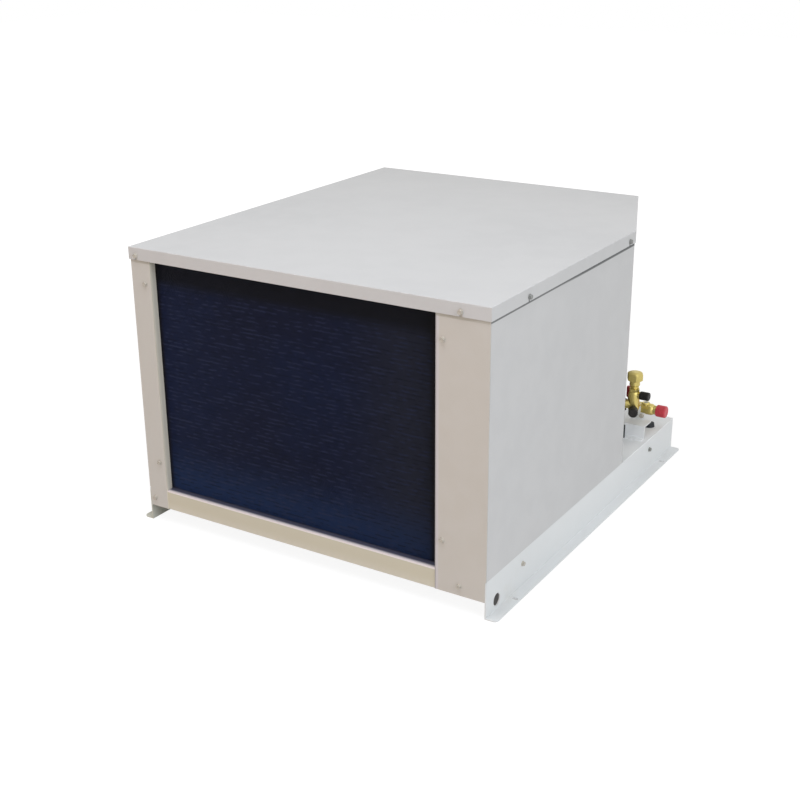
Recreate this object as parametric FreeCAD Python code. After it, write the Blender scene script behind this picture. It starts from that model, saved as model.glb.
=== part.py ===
import FreeCAD, Part
import math
import os

# Outdoor air-cooled refrigeration condensing unit in a low, weatherproof sheet steel cabinet.
# Millimetres. X runs to the right, Y runs from the coil face to the back and Z runs up.
# The origin is on the ground, under the middle of the unit.

# Cabinet outside sizes, over the lid
cabinet_width = 710.0
cabinet_depth = 820.0
cabinet_height = 521.5
corner_cut_width = 107.7
corner_cut_depth = 273.5

# Sheet metal and the gaps between sheets
sheet = 1.2
base_sheet = 2.0
lid_lip = 22.0
lid_gap = 0.8
seat_gap = 0.3
sheet_gap = 0.2
hem = 14.0

# Base
deck_height = 66.5
foot_reach = 20.0
foot_corner_radius = 8.0
rail_top_flange = 18.0
apron_bottom = 30.0
foot_slot_width = 7.0
foot_slot_length = 12.0
foot_slot_spacing = 652.0
foot_slot_from_web = 10.5
drain_diameter = 16.0
drain_x = -60.0
drain_from_rear = 53.0
conduit_hole_diameter = 22.2
conduit_hole_from_front = 37.6
conduit_hole_height = 19.2

# Front frame
left_post_width = 42.0
right_post_width = 94.0
post_return = 14.0

# Condenser coil
coil_front_gap = 16.0
coil_overlap = 3.8
coil_bottom_gap = 1.5
tube_diameter = 12.7
tube_pitch = 31.75
row_pitch = 27.5
tube_rows = 2
front_rail_height = 20.0
end_plate_flange = 20.0
fin_groove_pitch = 12.0
fin_groove_width = 1.2
fin_groove_depth = 3.0

# Fan and motor
shroud_depth = 23.0
orifice_margin = 16.0
orifice_lip = 28.0
fan_tip_gap = 6.0
fan_setback = 12.0
blade_count = 5
blade_thickness = 1.6
blade_camber = 0.07
blade_steps = 4
root_chord = 78.0
tip_chord = 128.0
root_pitch_angle = 34.0
tip_pitch_angle = 22.0
hub_diameter = 74.0
hub_length = 26.0
hub_socket = 8.0
hub_chamfer = 6.0
hub_boss_wall = 10.0
hub_boss_length = 8.0
shaft_diameter = 12.7
shaft_clearance = 0.05
motor_diameter = 104.0
motor_length = 112.0
motor_setback = 38.0
motor_nose = 7.0
motor_shoulder = 14.0
stand_half_width = 46.0
stand_depth = 62.0
stand_foot = 22.0
stand_window = 48.0
band_lug = 6.0
motor_band_width = 18.0

# Compressor and liquid receiver
compressor_from_left = 185.0
compressor_share = 0.34
compressor_diameter = 196.0
compressor_shell_height = 290.0
compressor_foot_spacing = 190.0
compressor_bolt = 8.0
foot_plate_thickness = 3.0
grommet_height = 16.0
grommet_diameter = 34.0
grommet_neck = 20.0
seam_reach = 3.0
seam_width = 9.0
cover_width = 68.0
cover_height = 58.0
cover_reach = 22.0
cover_rise = 70.0
cover_chamfer = 4.0
heater_thickness = 3.5
heater_width = 14.0
heater_rise = 38.0
discharge_stub_rise = 230.5
suction_stub_rise = 130.5
stub_length = 14.0
stub_wall = 2.5
receiver_from_left = 148.0
receiver_diameter = 114.0
receiver_height = 262.0
receiver_rise = 6.0

# Refrigerant lines
discharge_diameter = 12.7
liquid_diameter = 9.5
suction_diameter = 15.9
pipe_bend = 15.0
side_line_setback = 20.0
condensate_line_height = 84.0
drier_from_right = 331.0
drier_diameter = 50.0
drier_length = 118.0
drier_neck = 12.0
drier_shoulder = 30.0
sight_glass_from_right = 163.0
sight_glass_length = 34.0
glass_diameter = 20.0
glass_height = 17.0
glass_recess = 4.0
suction_run = 240.0

# Control box, on the inside of the right panel
box_width = 148.0
box_length = 196.0
box_depth = 96.0
box_drop = 92.0
box_setback = 120.0
box_lip = 12.0
cover_gap = 0.5
contactor_inset = 14.0
contactor_width = 62.0
contactor_length = 78.0
contactor_base = 14.0
contactor_height = 58.0
contactor_step = 4.0
capacitor_diameter = 48.0
capacitor_height = 72.0
terminal_depth = 26.0
terminal_length = 96.0
terminal_count = 5

# Pressure control and its reset button
control_from_right = 65.0
control_width = 88.0
control_depth = 42.0
control_height = 74.0
control_drop = 24.0
bellows_radius = 12.0
bellows_length = 16.0
reset_radius = 5.0
reset_clearance = 0.3
reset_travel = 3.0
reset_length = 12.0

# Suction service valve, on the open corner of the deck
suction_valve_from_right = 38.5
suction_valve_from_rear = 129.0
suction_outlet_height = 133.0
suction_outlet_radius = 9.2
suction_outlet_reach = 20.0
suction_body_bottom = 118.0
suction_body_top = 161.0
suction_neck_height = 24.0
gauge_port_height = 154.0
front_port_height = 125.0
access_port_height = 136.0
valve_body_radius = 11.5
valve_neck_radius = 8.5
valve_chamfer = 3.0
valve_gland_flats = 18.6
valve_gland_height = 6.0
port_nut_flats = 12.6
port_nut_length = 12.0
port_radius = 5.0
port_reach = 29.0
access_port_radius = 3.5
access_port_back = 20.0
access_port_inwards = 9.0
access_port_length = 24.0
stem_diameter = 8.0
stem_clearance = 0.05
stem_seat_depth = 14.0
stem_square = 5.5
stem_square_length = 6.0

# Liquid service valve
liquid_valve_from_rear = 90.0
liquid_line_height = 113.0
liquid_body_from_right = 50.0
liquid_body_length = 46.0
liquid_port_radius = 7.0
liquid_port_length = 18.0
liquid_stem_offset = 23.0
liquid_boss_height = 13.0
stem_socket_flats = 5.0
stem_socket_depth = 4.0

# Valve caps
cap_clearance = 0.3
seal_cap_gap = 13.0
seal_cap_skirt = 10.0
seal_cap_wall = 1.7
seal_cap_flats = 28.5
seal_cap_hex = 13.0
seal_cap_dome = 5.0
port_cap_end = 3.0
port_cap_edge = 2.0
gauge_cap_radius = 8.5
gauge_cap_length = 19.0
front_cap_radius = 9.5
access_cap_radius = 6.2
access_cap_length = 22.0
liquid_line_cap_radius = 12.0
liquid_line_cap_length = 20.0

# Valve bracket and rubber grommets
bracket_from_rear = 138.0
bracket_shelf_height = 93.0
bracket_tab_width = 18.0
bracket_tab_height = 34.0
bracket_ledge_width = 28.0
bracket_ledge_height = 14.0
bracket_screw_height = 8.0
bracket_screw_inset = 22.0
bracket_panel_gap = 1.5
bracket_rail_gap = 9.0
bracket_foot = 14.0
bushing_from_right = 26.0
bushing_from_rear = 67.0
bushing_diameter = 22.0
bushing_neck = 15.0
bushing_height = 7.5
conduit_grommet_from_rear = 169.0
conduit_grommet_height = 88.0
conduit_grommet_diameter = 22.2
grommet_wall = 3.0
grommet_flange = 3.0
grommet_tail = 3.2

# Hex washer screws
washer_flats = 9.6
washer_thickness = 0.8
screw_head_flats = 7.0
screw_head_height = 3.2
screw_shank_flats = 4.0
lid_screw_drop = 14.5
lid_screw_left = 16.3
lid_screw_right = 51.8
lid_screw_front = 120.4
lid_screw_rear = 27.0
rear_lid_screw = 190.0
post_screw_low = 54.5
post_screw_high = 61.5
post_screw_inset = 12.5
apron_screw_inset = 49.3
apron_screw_height = 46.5
rail_screw_height = 42.7
rail_screw_from_end = 128.0
screw_slot_width = 5.2
lid_edge_radius = 1.1

# Louvers in the rear panel
louver_top_margin = 57.0
louver_pitch = 34.0
louver_height = 15.0
louver_reach = 6.0
louver_margin = 42.0
louver_gap = 36.0
louver_bottom_margin = 37.5

# Worked out from the sizes above
panel_inset = sheet + lid_gap
panel_half = cabinet_width / 2 - panel_inset
front_face = -cabinet_depth / 2 + panel_inset
rear_face = cabinet_depth / 2 - panel_inset
panel_top = cabinet_height - sheet - seat_gap
lid_bottom = cabinet_height - lid_lip
lid_screw_height = cabinet_height - lid_screw_drop
apron_face = front_face + sheet + sheet_gap
opening_left = -panel_half + left_post_width
opening_right = panel_half - right_post_width
coil_front = front_face + coil_front_gap
coil_back = coil_front + tube_rows * row_pitch
coil_bottom = deck_height + coil_bottom_gap
coil_top = panel_top - front_rail_height
coil_height = coil_top - coil_bottom
coil_left = opening_left - coil_overlap
coil_right = opening_right + coil_overlap
shroud_back = coil_back + sheet_gap + shroud_depth
fan_x = (coil_left + coil_right) / 2
fan_z = (coil_bottom + coil_top) / 2
fan_y = shroud_back + fan_setback
orifice_diameter = coil_height - 2 * orifice_margin
fan_radius = orifice_diameter / 2 - fan_tip_gap
motor_front = fan_y + hub_length / 2 + motor_setback
shaft_reach = motor_length * 0.6
foot_plate_top = deck_height + grommet_height + foot_plate_thickness
compressor_x = -panel_half + compressor_from_left
motor_back = motor_front + motor_length
compressor_y = motor_back + compressor_share * (rear_face - motor_back)
discharge_stub_height = foot_plate_top + discharge_stub_rise
suction_stub_height = foot_plate_top + suction_stub_rise
side_line_x = coil_left - side_line_setback
box_right = panel_half - sheet - sheet_gap
box_left = box_right - box_width
box_front = front_face + box_setback
box_back = box_front + box_length
box_top = panel_top - box_drop
box_bottom = box_top - box_depth
control_x = panel_half - control_from_right
control_top = box_top - control_drop
suction_valve_x = panel_half - suction_valve_from_right
suction_valve_y = rear_face - suction_valve_from_rear
liquid_valve_y = rear_face - liquid_valve_from_rear
liquid_body_start = panel_half - liquid_body_from_right
liquid_body_end = liquid_body_start + liquid_body_length
liquid_stem_x = liquid_body_start + liquid_stem_offset
receiver_x = -panel_half + receiver_from_left
drier_x = panel_half - drier_from_right
drier_end = drier_x + drier_length
sight_glass_x = panel_half - sight_glass_from_right
bracket_y = rear_face - bracket_from_rear
bracket_back = liquid_valve_y - valve_body_radius - seat_gap
bushing_x = panel_half - bushing_from_right
bushing_y = rear_face - bushing_from_rear
conduit_grommet_y = rear_face - conduit_grommet_from_rear
drain_y = rear_face - drain_from_rear
rail_screw_y = rear_face - rail_screw_from_end
louver_bottom = deck_height + louver_bottom_margin
louver_rows = int((panel_top - louver_top_margin - louver_bottom) / louver_pitch) + 1

up = FreeCAD.Vector(0, 0, 1)
right = FreeCAD.Vector(1, 0, 0)
back = FreeCAD.Vector(0, 1, 0)
parts = {}


def place(x, y, z):
    return FreeCAD.Vector(x, y, z)


# A box between two opposite corners
def block(x0, y0, z0, x1, y1, z1):
    return Part.makeBox(abs(x1 - x0), abs(y1 - y0), abs(z1 - z0),
                        place(min(x0, x1), min(y0, y1), min(z0, z1)))


# A round bar from one point to another
def rod(start, end, radius):
    line = end - start
    return Part.makeCylinder(radius, line.Length, start, line)


# A direction at right angles to another
def beside(direction):
    side = direction.cross(up) if abs(direction.z) < 0.9 else direction.cross(right)
    side.normalize()
    return side


# A hexagonal bar, across_flats wide, that starts at a point and runs along a direction
def hex_bar(start, direction, across_flats, length):
    side = beside(direction)
    other = direction.cross(side)
    corner = across_flats / math.sqrt(3)
    ring = []
    for step in range(7):
        angle = math.radians(60 * step)
        ring.append(start + side * (corner * math.cos(angle)) + other * (corner * math.sin(angle)))
    return Part.Face(Part.makePolygon(ring)).extrude(direction * length)


# An outline in plan, raised from one height to another
def prism(outline, low, high):
    ring = [place(x, y, low) for x, y in outline]
    ring.append(ring[0])
    return Part.Face(Part.makePolygon(ring)).extrude(up * (high - low))


# An outline in Y and Z, run from one X to another
def side_prism(outline, x0, x1):
    ring = [place(x0, y, z) for y, z in outline]
    ring.append(ring[0])
    return Part.Face(Part.makePolygon(ring)).extrude(right * (x1 - x0))


# A closed outline of radii and heights, turned about an axis through a point
def turned(profile, origin, axis):
    side = beside(axis)
    ring = [origin + side * radius + axis * height for radius, height in profile]
    ring.append(ring[0])
    return Part.Face(Part.makePolygon(ring)).revolve(origin, axis, 360)


# One dished head, as a crown arc and a knuckle arc that meet smoothly, in the X-Z plane
def head_arcs(axis_point, radius, head_height, direction):
    knuckle = head_height / 3
    crown = (radius ** 2 - 2 * radius * knuckle + head_height ** 2) / (2 * (head_height - knuckle))
    lean = math.asin((radius - knuckle) / (crown - knuckle))

    def crown_point(angle):
        along_axis = head_height - crown + crown * math.cos(angle)
        return axis_point + right * (crown * math.sin(angle)) + direction * along_axis

    def knuckle_point(angle):
        across_axis = radius - knuckle + knuckle * math.sin(angle)
        return axis_point + right * across_axis + direction * (knuckle * math.cos(angle))

    between = (lean + math.pi / 2) / 2
    return [Part.Arc(crown_point(0), crown_point(lean / 2), crown_point(lean)).toShape(),
            Part.Arc(knuckle_point(lean), knuckle_point(between), knuckle_point(math.pi / 2)).toShape()]


# A closed steel vessel that stands upright, with dished heads
def vessel(x, y, bottom, radius, height, lower_head, upper_head):
    low = place(x, y, bottom + lower_head)
    high = place(x, y, bottom + height - upper_head)
    edges = head_arcs(low, radius, lower_head, up * -1) + head_arcs(high, radius, upper_head, up)
    edges.append(Part.makeLine(low - up * lower_head, high + up * upper_head))
    edges.append(Part.makeLine(high + right * radius, low + right * radius))
    wire = Part.Wire(Part.__sortEdges__(edges))
    return Part.Face(wire).revolve(place(x, y, bottom), up, 360)


# A round pipe along a path of points, with the same bend at each corner
def bent_pipe(points, diameter, bend_radius):
    edges = []
    start = points[0]
    for i in range(1, len(points) - 1):
        incoming = points[i] - points[i - 1]
        outgoing = points[i + 1] - points[i]
        incoming.normalize()
        outgoing.normalize()
        half_turn = incoming.getAngle(outgoing) / 2
        setback = bend_radius * math.tan(half_turn)
        bend_start = points[i] - incoming * setback
        bend_end = points[i] + outgoing * setback
        inwards = outgoing - incoming
        inwards.normalize()
        middle = points[i] + inwards * (bend_radius / math.cos(half_turn) - bend_radius)
        if (bend_start - start).Length > 0.01:
            edges.append(Part.makeLine(start, bend_start))
        edges.append(Part.Arc(bend_start, middle, bend_end).toShape())
        start = bend_end
    edges.append(Part.makeLine(start, points[-1]))
    circle = Part.Wire([Part.makeCircle(diameter / 2, points[0], points[1] - points[0])])
    return Part.Wire(edges).makePipeShell([circle], True, False)


def save(name, solids):
    found = []
    for solid in solids if isinstance(solids, list) else [solids]:
        found.extend(solid.Solids)
    shape = found[0] if len(found) == 1 else Part.makeCompound(found)
    parts[name] = shape
    shape.exportStep("parts/" + name + ".step")


# The corners of the cabinet's plan, moved inwards by an inset, from the front left corner round
def plan_corners(inset):
    half_width = cabinet_width / 2 - inset
    half_depth = cabinet_depth / 2 - inset
    along, outwards = corner_directions()
    start_x = cabinet_width / 2 - outwards.x * inset
    start_y = cabinet_depth / 2 - corner_cut_depth - outwards.y * inset
    side_y = start_y + (half_width - start_x) / along.x * along.y
    rear_x = start_x + (half_depth - start_y) / along.y * along.x
    return [(-half_width, -half_depth), (half_width, -half_depth), (half_width, side_y),
            (rear_x, half_depth), (-half_width, half_depth)]


# The direction along the cut corner, front to back, and the way out of it
def corner_directions():
    length = math.hypot(corner_cut_width, corner_cut_depth)
    along = place(-corner_cut_width / length, corner_cut_depth / length, 0)
    return along, place(along.y, -along.x, 0)


# The plan of the cut corner's wall, between two insets
def corner_wall(outer_inset, inner_inset):
    outer = plan_corners(outer_inset)
    inner = plan_corners(inner_inset)
    return [outer[2], outer[3], inner[3], inner[2]]


# A point on the outer face of the cut corner's panel, by its place in Y
def on_corner_panel(y, z):
    corners = plan_corners(panel_inset)
    share = (y - corners[2][1]) / (corners[3][1] - corners[2][1])
    return place(corners[2][0] + share * (corners[3][0] - corners[2][0]), y, z)


# Screws: each group is a list of a point on the sheet that it clamps, and the way out
def post_screws():
    found = []
    for edge, side in ((opening_left, -1), (opening_right, 1)):
        for height in (deck_height + post_screw_low, panel_top - post_screw_high):
            found.append((place(edge + side * post_screw_inset, front_face, height), -back))
    for x in (-panel_half + post_screw_inset, panel_half - apron_screw_inset):
        found.append((place(x, front_face, apron_screw_height), -back))
    return found


def lid_screws():
    corner_y = plan_corners(panel_inset)[2][1]
    found = []
    for x in (-cabinet_width / 2 + lid_screw_left, cabinet_width / 2 - lid_screw_right):
        found.append((place(x, front_face, lid_screw_height), -back))
    for side in (-1, 1):
        for y in (front_face + lid_screw_front, corner_y - lid_screw_rear):
            found.append((place(side * panel_half, y, lid_screw_height), right * side))
    for x in (-rear_lid_screw, rear_lid_screw):
        found.append((place(x, rear_face, lid_screw_height), back))
    return found


def rail_screws():
    found = []
    for side in (-1, 1):
        for y in (-rail_screw_y, rail_screw_y):
            found.append((place(side * panel_half, y, rail_screw_height), right * side))
    return found


def bracket_screws():
    return [(place(bracket_left() + bracket_screw_inset, bracket_back - base_sheet,
                   bracket_shelf_height + bracket_screw_height), -back)]


# Hex washer screws whose heads stand off the sheet by the thickness that they clamp
def screws(group, stand_off):
    made = []
    for point, outwards in group:
        washer_start = point + outwards * stand_off
        washer = hex_bar(washer_start, outwards, washer_flats, washer_thickness)
        head = hex_bar(washer_start + outwards * washer_thickness, outwards, screw_head_flats,
                       screw_head_height)
        whole = washer.fuse(head)
        if stand_off > 0:
            whole = whole.fuse(hex_bar(point, outwards, screw_shank_flats, stand_off))
        made.append(whole.removeSplitter())
    return made


# Base: a deck with down-turned aprons, on two rails whose feet turn outwards
def deck_pan():
    plate = block(-panel_half, apron_face, deck_height - base_sheet, panel_half, rear_face, deck_height)
    apron_half = panel_half - base_sheet - sheet_gap
    front = block(-apron_half, apron_face, apron_bottom, apron_half, apron_face + base_sheet, deck_height)
    rear = block(-apron_half, rear_face - base_sheet, apron_bottom, apron_half, rear_face, deck_height)
    drain = Part.makeCylinder(drain_diameter / 2, 3 * base_sheet,
                              place(drain_x, drain_y, deck_height - 2 * base_sheet), up)
    bushing_start = place(bushing_x, bushing_y, deck_height - 2 * base_sheet)
    bushing_hole = Part.makeCylinder(bushing_neck / 2, 3 * base_sheet, bushing_start, up)
    return plate.fuse([front, rear]).removeSplitter().cut([drain, bushing_hole])


def foot_rail(side):
    outer = side * panel_half
    toe = side * (panel_half + foot_reach)
    under_deck = deck_height - base_sheet
    web = block(outer, front_face, 0, outer - side * base_sheet, rear_face, under_deck)
    foot = block(outer, front_face, 0, toe, rear_face, base_sheet)
    toe_corners = [edge for edge in foot.Edges
                   if abs(edge.CenterOfMass.x - toe) < 0.01 and abs(edge.CenterOfMass.z - base_sheet / 2) < 0.01]
    foot = foot.makeFillet(foot_corner_radius, toe_corners)
    flange = block(outer, apron_face + base_sheet + sheet_gap, under_deck - base_sheet,
                   outer - side * rail_top_flange, rear_face - base_sheet - sheet_gap, under_deck)
    cuts = []
    slot_x = side * (panel_half + foot_slot_from_web)
    straight = (foot_slot_length - foot_slot_width) / 2
    for y in (-foot_slot_spacing / 2, foot_slot_spacing / 2):
        cuts.append(block(slot_x - straight, y - foot_slot_width / 2, -base_sheet,
                          slot_x + straight, y + foot_slot_width / 2, 2 * base_sheet))
        for end in (-straight, straight):
            cuts.append(Part.makeCylinder(foot_slot_width / 2, 3 * base_sheet,
                                          place(slot_x + end, y, -base_sheet), up))
    hole_start = place(side * (panel_half - 2 * base_sheet), front_face + conduit_hole_from_front,
                       conduit_hole_height)
    cuts.append(Part.makeCylinder(conduit_hole_diameter / 2, 3 * base_sheet, hole_start, right * side))
    return web.fuse([foot, flange]).removeSplitter().cut(cuts)


# Front frame: two posts whose inner edges turn back beside the coil, and a rail above the coil
def front_post(side):
    outer = side * (panel_half - sheet_gap)
    beside_rail = side * (panel_half - base_sheet - sheet_gap)
    inner = opening_left if side < 0 else opening_right
    face = block(inner, front_face, deck_height, outer, front_face + sheet, panel_top)
    lower_face = block(inner, front_face, apron_bottom, beside_rail, front_face + sheet, deck_height)
    turned_edge = block(inner, front_face, deck_height + sheet_gap, inner + side * sheet,
                        front_face + post_return,
                        coil_top)
    return face.fuse([lower_face, turned_edge]).removeSplitter()


def front_top_rail():
    rail_left = opening_left + sheet_gap
    rail_right = opening_right - sheet_gap
    shelf_bottom = coil_top + sheet_gap
    face = block(rail_left, front_face, shelf_bottom, rail_right, front_face + sheet, panel_top)
    shelf = block(rail_left, front_face, shelf_bottom, rail_right, coil_back, shelf_bottom + sheet)
    return face.fuse(shelf).removeSplitter()


# Cabinet walls. Each has a flange at its top, where the lid rests, and flanges behind its neighbours
def left_side_panel():
    outer = -panel_half
    rear_end = rear_face - sheet - sheet_gap
    plate = block(outer, apron_face, deck_height, outer + sheet, rear_end, panel_top)
    top = block(outer, apron_face, panel_top - sheet, outer + hem, rear_end, panel_top)
    front_flange = block(outer, apron_face, deck_height, outer + hem, apron_face + sheet, panel_top)
    rear_flange = block(outer, rear_end - sheet, deck_height, outer + hem, rear_end, panel_top)
    return plate.fuse([top, front_flange, rear_flange]).removeSplitter()


def right_side_panel():
    along, outwards = corner_directions()
    outer_x, bend_y = plan_corners(panel_inset + sheet + sheet_gap)[2]
    inner_x, inner_bend_y = plan_corners(panel_inset + 2 * sheet + sheet_gap)[2]
    far = place(outer_x, bend_y, 0) + along * hem
    plate_end = bend_y - hem
    flange_outline = [(panel_half, plate_end), (panel_half, bend_y - sheet_gap), (outer_x, bend_y),
                      (far.x, far.y),
                      (far.x - outwards.x * sheet, far.y - outwards.y * sheet), (inner_x, inner_bend_y),
                      (panel_half - sheet, inner_bend_y - sheet), (panel_half - sheet, plate_end)]
    plate = block(panel_half - sheet, apron_face, deck_height, panel_half, plate_end, panel_top)
    top = block(panel_half - hem, apron_face, panel_top - sheet, panel_half, plate_end, panel_top)
    front_flange = block(panel_half - hem, apron_face, deck_height, panel_half, apron_face + sheet, panel_top)
    rear_flange = prism(flange_outline, deck_height, panel_top)
    return plate.fuse([top, front_flange, rear_flange]).removeSplitter()


def angled_valve_panel():
    outwards = corner_directions()[1]
    plate = prism(corner_wall(panel_inset, panel_inset + sheet), deck_height, panel_top)
    top = prism(corner_wall(panel_inset, panel_inset + hem), panel_top - sheet, panel_top)
    start_y = plan_corners(panel_inset)[2][1]
    between_neighbours = block(0, start_y + 1.5 * hem, deck_height, panel_half, rear_face - 1.5 * hem,
                               panel_top)
    holes = [Part.makeCylinder(radius, 4 * sheet, point - outwards * 3 * sheet, outwards)
             for point, radius in [opening[:2] for opening in panel_openings()]]
    return plate.fuse(top.common(between_neighbours)).removeSplitter().cut(holes)


# Rear panel with two banks of pressed louvers that open downwards and let the fan's air out
def rear_louver_panel():
    right_end = plan_corners(panel_inset)[3][0] - 2 * sheet
    plate = block(-panel_half, rear_face - sheet, deck_height + sheet_gap, right_end, rear_face, panel_top)
    top = block(-panel_half + hem + sheet, rear_face - hem, panel_top - sheet, right_end - hem, rear_face,
                panel_top)
    bank_width = (right_end + panel_half - 2 * louver_margin - louver_gap) / 2
    hoods = []
    slots = []
    for bank in range(2):
        x0 = -panel_half + louver_margin + bank * (bank_width + louver_gap)
        for row in range(louver_rows):
            z0 = louver_bottom + row * louver_pitch
            hood = [(rear_face, z0), (rear_face + louver_reach, z0), (rear_face + louver_reach, z0 + sheet),
                    (rear_face, z0 + louver_height)]
            slot = [(rear_face - 2 * sheet, z0 - sheet), (rear_face + louver_reach - sheet, z0 - sheet),
                    (rear_face + louver_reach - sheet, z0 + sheet),
                    (rear_face - sheet, z0 + louver_height - sheet),
                    (rear_face - 2 * sheet, z0 + louver_height - sheet)]
            hoods.append(side_prism(hood, x0, x0 + bank_width))
            slots.append(side_prism(slot, x0 + sheet, x0 + bank_width - sheet))
    return plate.fuse([top] + hoods).removeSplitter().cut(slots)


# Lid: a shallow tray turned over the walls, with slots in its lips that are open below, for the screws
def lid():
    outside = prism(plan_corners(0), lid_bottom, cabinet_height)
    top_edges = [edge for edge in outside.Edges if abs(edge.CenterOfMass.z - cabinet_height) < 0.01]
    outside = outside.makeFillet(lid_edge_radius, top_edges)
    inside = prism(plan_corners(sheet), lid_bottom - sheet, cabinet_height - sheet)
    slots = []
    for point, outwards in lid_screws():
        half = up.cross(outwards) * (screw_slot_width / 2)
        below = up * (lid_bottom - sheet - lid_screw_height)
        ring = [point + half, point - half, point - half + below, point + half + below, point + half]
        slots.append(Part.Face(Part.makePolygon(ring)).extrude(outwards * 2 * panel_inset))
        slots.append(Part.makeCylinder(screw_slot_width / 2, 2 * panel_inset, point, outwards))
    return outside.cut(inside).cut(slots)


# Condenser coil: finned pack, end plates that screw to the posts, return bends and end tubes
def tube_heights():
    rows = int(coil_height / tube_pitch)
    low = (coil_bottom + coil_top) / 2 - (rows - 1) * tube_pitch / 2
    return [low + i * tube_pitch for i in range(rows)]


def tube_depth(row):
    return coil_front + (row + 0.5) * row_pitch


def coil_fin_pack():
    pack = block(coil_left, coil_front, coil_bottom, coil_right, coil_back, coil_top)
    grooves = []
    count = int((coil_right - coil_left) / fin_groove_pitch)
    first = (coil_left + coil_right - (count - 1) * fin_groove_pitch - fin_groove_width) / 2
    for i in range(count):
        x = first + i * fin_groove_pitch
        grooves.append(block(x, coil_front - sheet, coil_bottom - sheet, x + fin_groove_width,
                             coil_front + fin_groove_depth, coil_top + sheet))
    return pack.cut(grooves)


def coil_end_plates():
    plates = []
    for side, edge in ((-1, coil_left), (1, coil_right)):
        web = block(edge, apron_face, deck_height, edge + side * sheet, coil_back, coil_top)
        flange = block(edge, apron_face, deck_height, edge + side * end_plate_flange, apron_face + sheet,
                       coil_top)
        plates.append(web.fuse(flange).removeSplitter())
    return plates


# A half-turn of tube between two points of an end plate
def return_bend(start, end, side):
    centre = (start + end) * 0.5
    axis = (start - centre).cross(right * side)
    tube_end = Part.Face(Part.Wire(Part.makeCircle(tube_diameter / 2, start, right)))
    return tube_end.revolve(centre, axis, 180)


def coil_return_bends():
    heights = tube_heights()
    left_x = coil_left - sheet
    right_x = coil_right + sheet
    bends = [return_bend(place(right_x, tube_depth(0), z), place(right_x, tube_depth(1), z), 1)
             for z in heights]
    for i in range(len(heights) - 1):
        depth = tube_depth((len(heights) - i) % 2)
        bends.append(return_bend(place(left_x, depth, heights[i]), place(left_x, depth, heights[i + 1]), -1))
    return bends


# Fan shroud: a tray behind the coil with a round, lipped outlet
def fan_shroud():
    start = coil_back + sheet_gap
    outer = block(coil_left, start, deck_height + sheet_gap, coil_right, shroud_back, coil_top)
    inner = block(coil_left + sheet, start - sheet, deck_height + sheet_gap + sheet, coil_right - sheet,
                  shroud_back - sheet, coil_top - sheet)
    radius = orifice_diameter / 2
    centre = place(fan_x, shroud_back - sheet, fan_z)
    lip = turned([(radius, 0), (radius, orifice_lip), (radius + sheet, orifice_lip), (radius + sheet, 0)],
                 centre, back)
    hole = Part.makeCylinder(radius + sheet / 2, 3 * sheet, centre - back * sheet, back)
    return outer.cut(inner).cut(hole).fuse(lip).removeSplitter()


# Fan: twisted, cambered sheet blades on a turned hub
def blade_section(radius, chord, pitch_angle, turn):
    radial = place(math.cos(turn), 0, math.sin(turn))
    tangential = place(-math.sin(turn), 0, math.cos(turn))
    centre = place(fan_x, fan_y, fan_z) + radial * radius
    slope = math.radians(pitch_angle)
    along = tangential * math.cos(slope) + back * math.sin(slope)
    across = back * math.cos(slope) - tangential * math.sin(slope)
    ring = []
    for face in (1, -1):
        for i in range(blade_steps + 1):
            share = face * (2 * i / blade_steps - 1)
            rise = blade_camber * chord * (1 - share ** 2) + face * blade_thickness / 2
            ring.append(centre + along * (share * chord / 2) + across * rise)
    ring.append(ring[0])
    return Part.makePolygon(ring)


def fan_blades():
    root = hub_diameter / 2 - hub_socket
    hub = Part.makeCylinder(hub_diameter / 2, cabinet_depth, place(fan_x, -cabinet_depth / 2, fan_z), back)
    swept = Part.makeCylinder(fan_radius, cabinet_depth, place(fan_x, -cabinet_depth / 2, fan_z), back)
    blades = []
    for number in range(blade_count):
        sections = []
        for share in (0, 0.35, 0.7, 1):
            radius = root + share * (fan_radius - root)
            chord = root_chord + share * (tip_chord - root_chord)
            pitch_angle = root_pitch_angle + share * (tip_pitch_angle - root_pitch_angle)
            sections.append(blade_section(radius, chord, pitch_angle, 2 * math.pi * number / blade_count))
        blades.append(Part.makeLoft(sections, True, True).common(swept).cut(hub))
    return blades


def fan_hub():
    half = hub_length / 2
    bore = shaft_diameter / 2
    rim = hub_diameter / 2
    profile = [(bore, -half), (rim - hub_chamfer, -half), (rim, -half + hub_chamfer), (rim, half),
               (bore + hub_boss_wall, half), (bore + hub_boss_wall, half + hub_boss_length),
               (bore, half + hub_boss_length)]
    return turned(profile, place(fan_x, fan_y, fan_z), back)


def motor_shaft():
    start = place(fan_x, fan_y - hub_length / 2 - hub_chamfer, fan_z)
    return rod(start, place(fan_x, motor_front + shaft_reach, fan_z), shaft_diameter / 2)


def fan_motor():
    radius = motor_diameter / 2
    bore = shaft_diameter / 2 + shaft_clearance
    bore_end = shaft_reach + sheet
    nose = motor_nose
    shoulder = motor_shoulder
    profile = [(bore, -nose), (radius / 3, -nose), (radius / 3, 0), (radius - shoulder, 0),
               (radius, shoulder),
               (radius, motor_length - shoulder), (radius - shoulder, motor_length), (0, motor_length),
               (0, bore_end), (bore, bore_end)]
    return turned(profile, place(fan_x, motor_front, fan_z), back)


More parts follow.
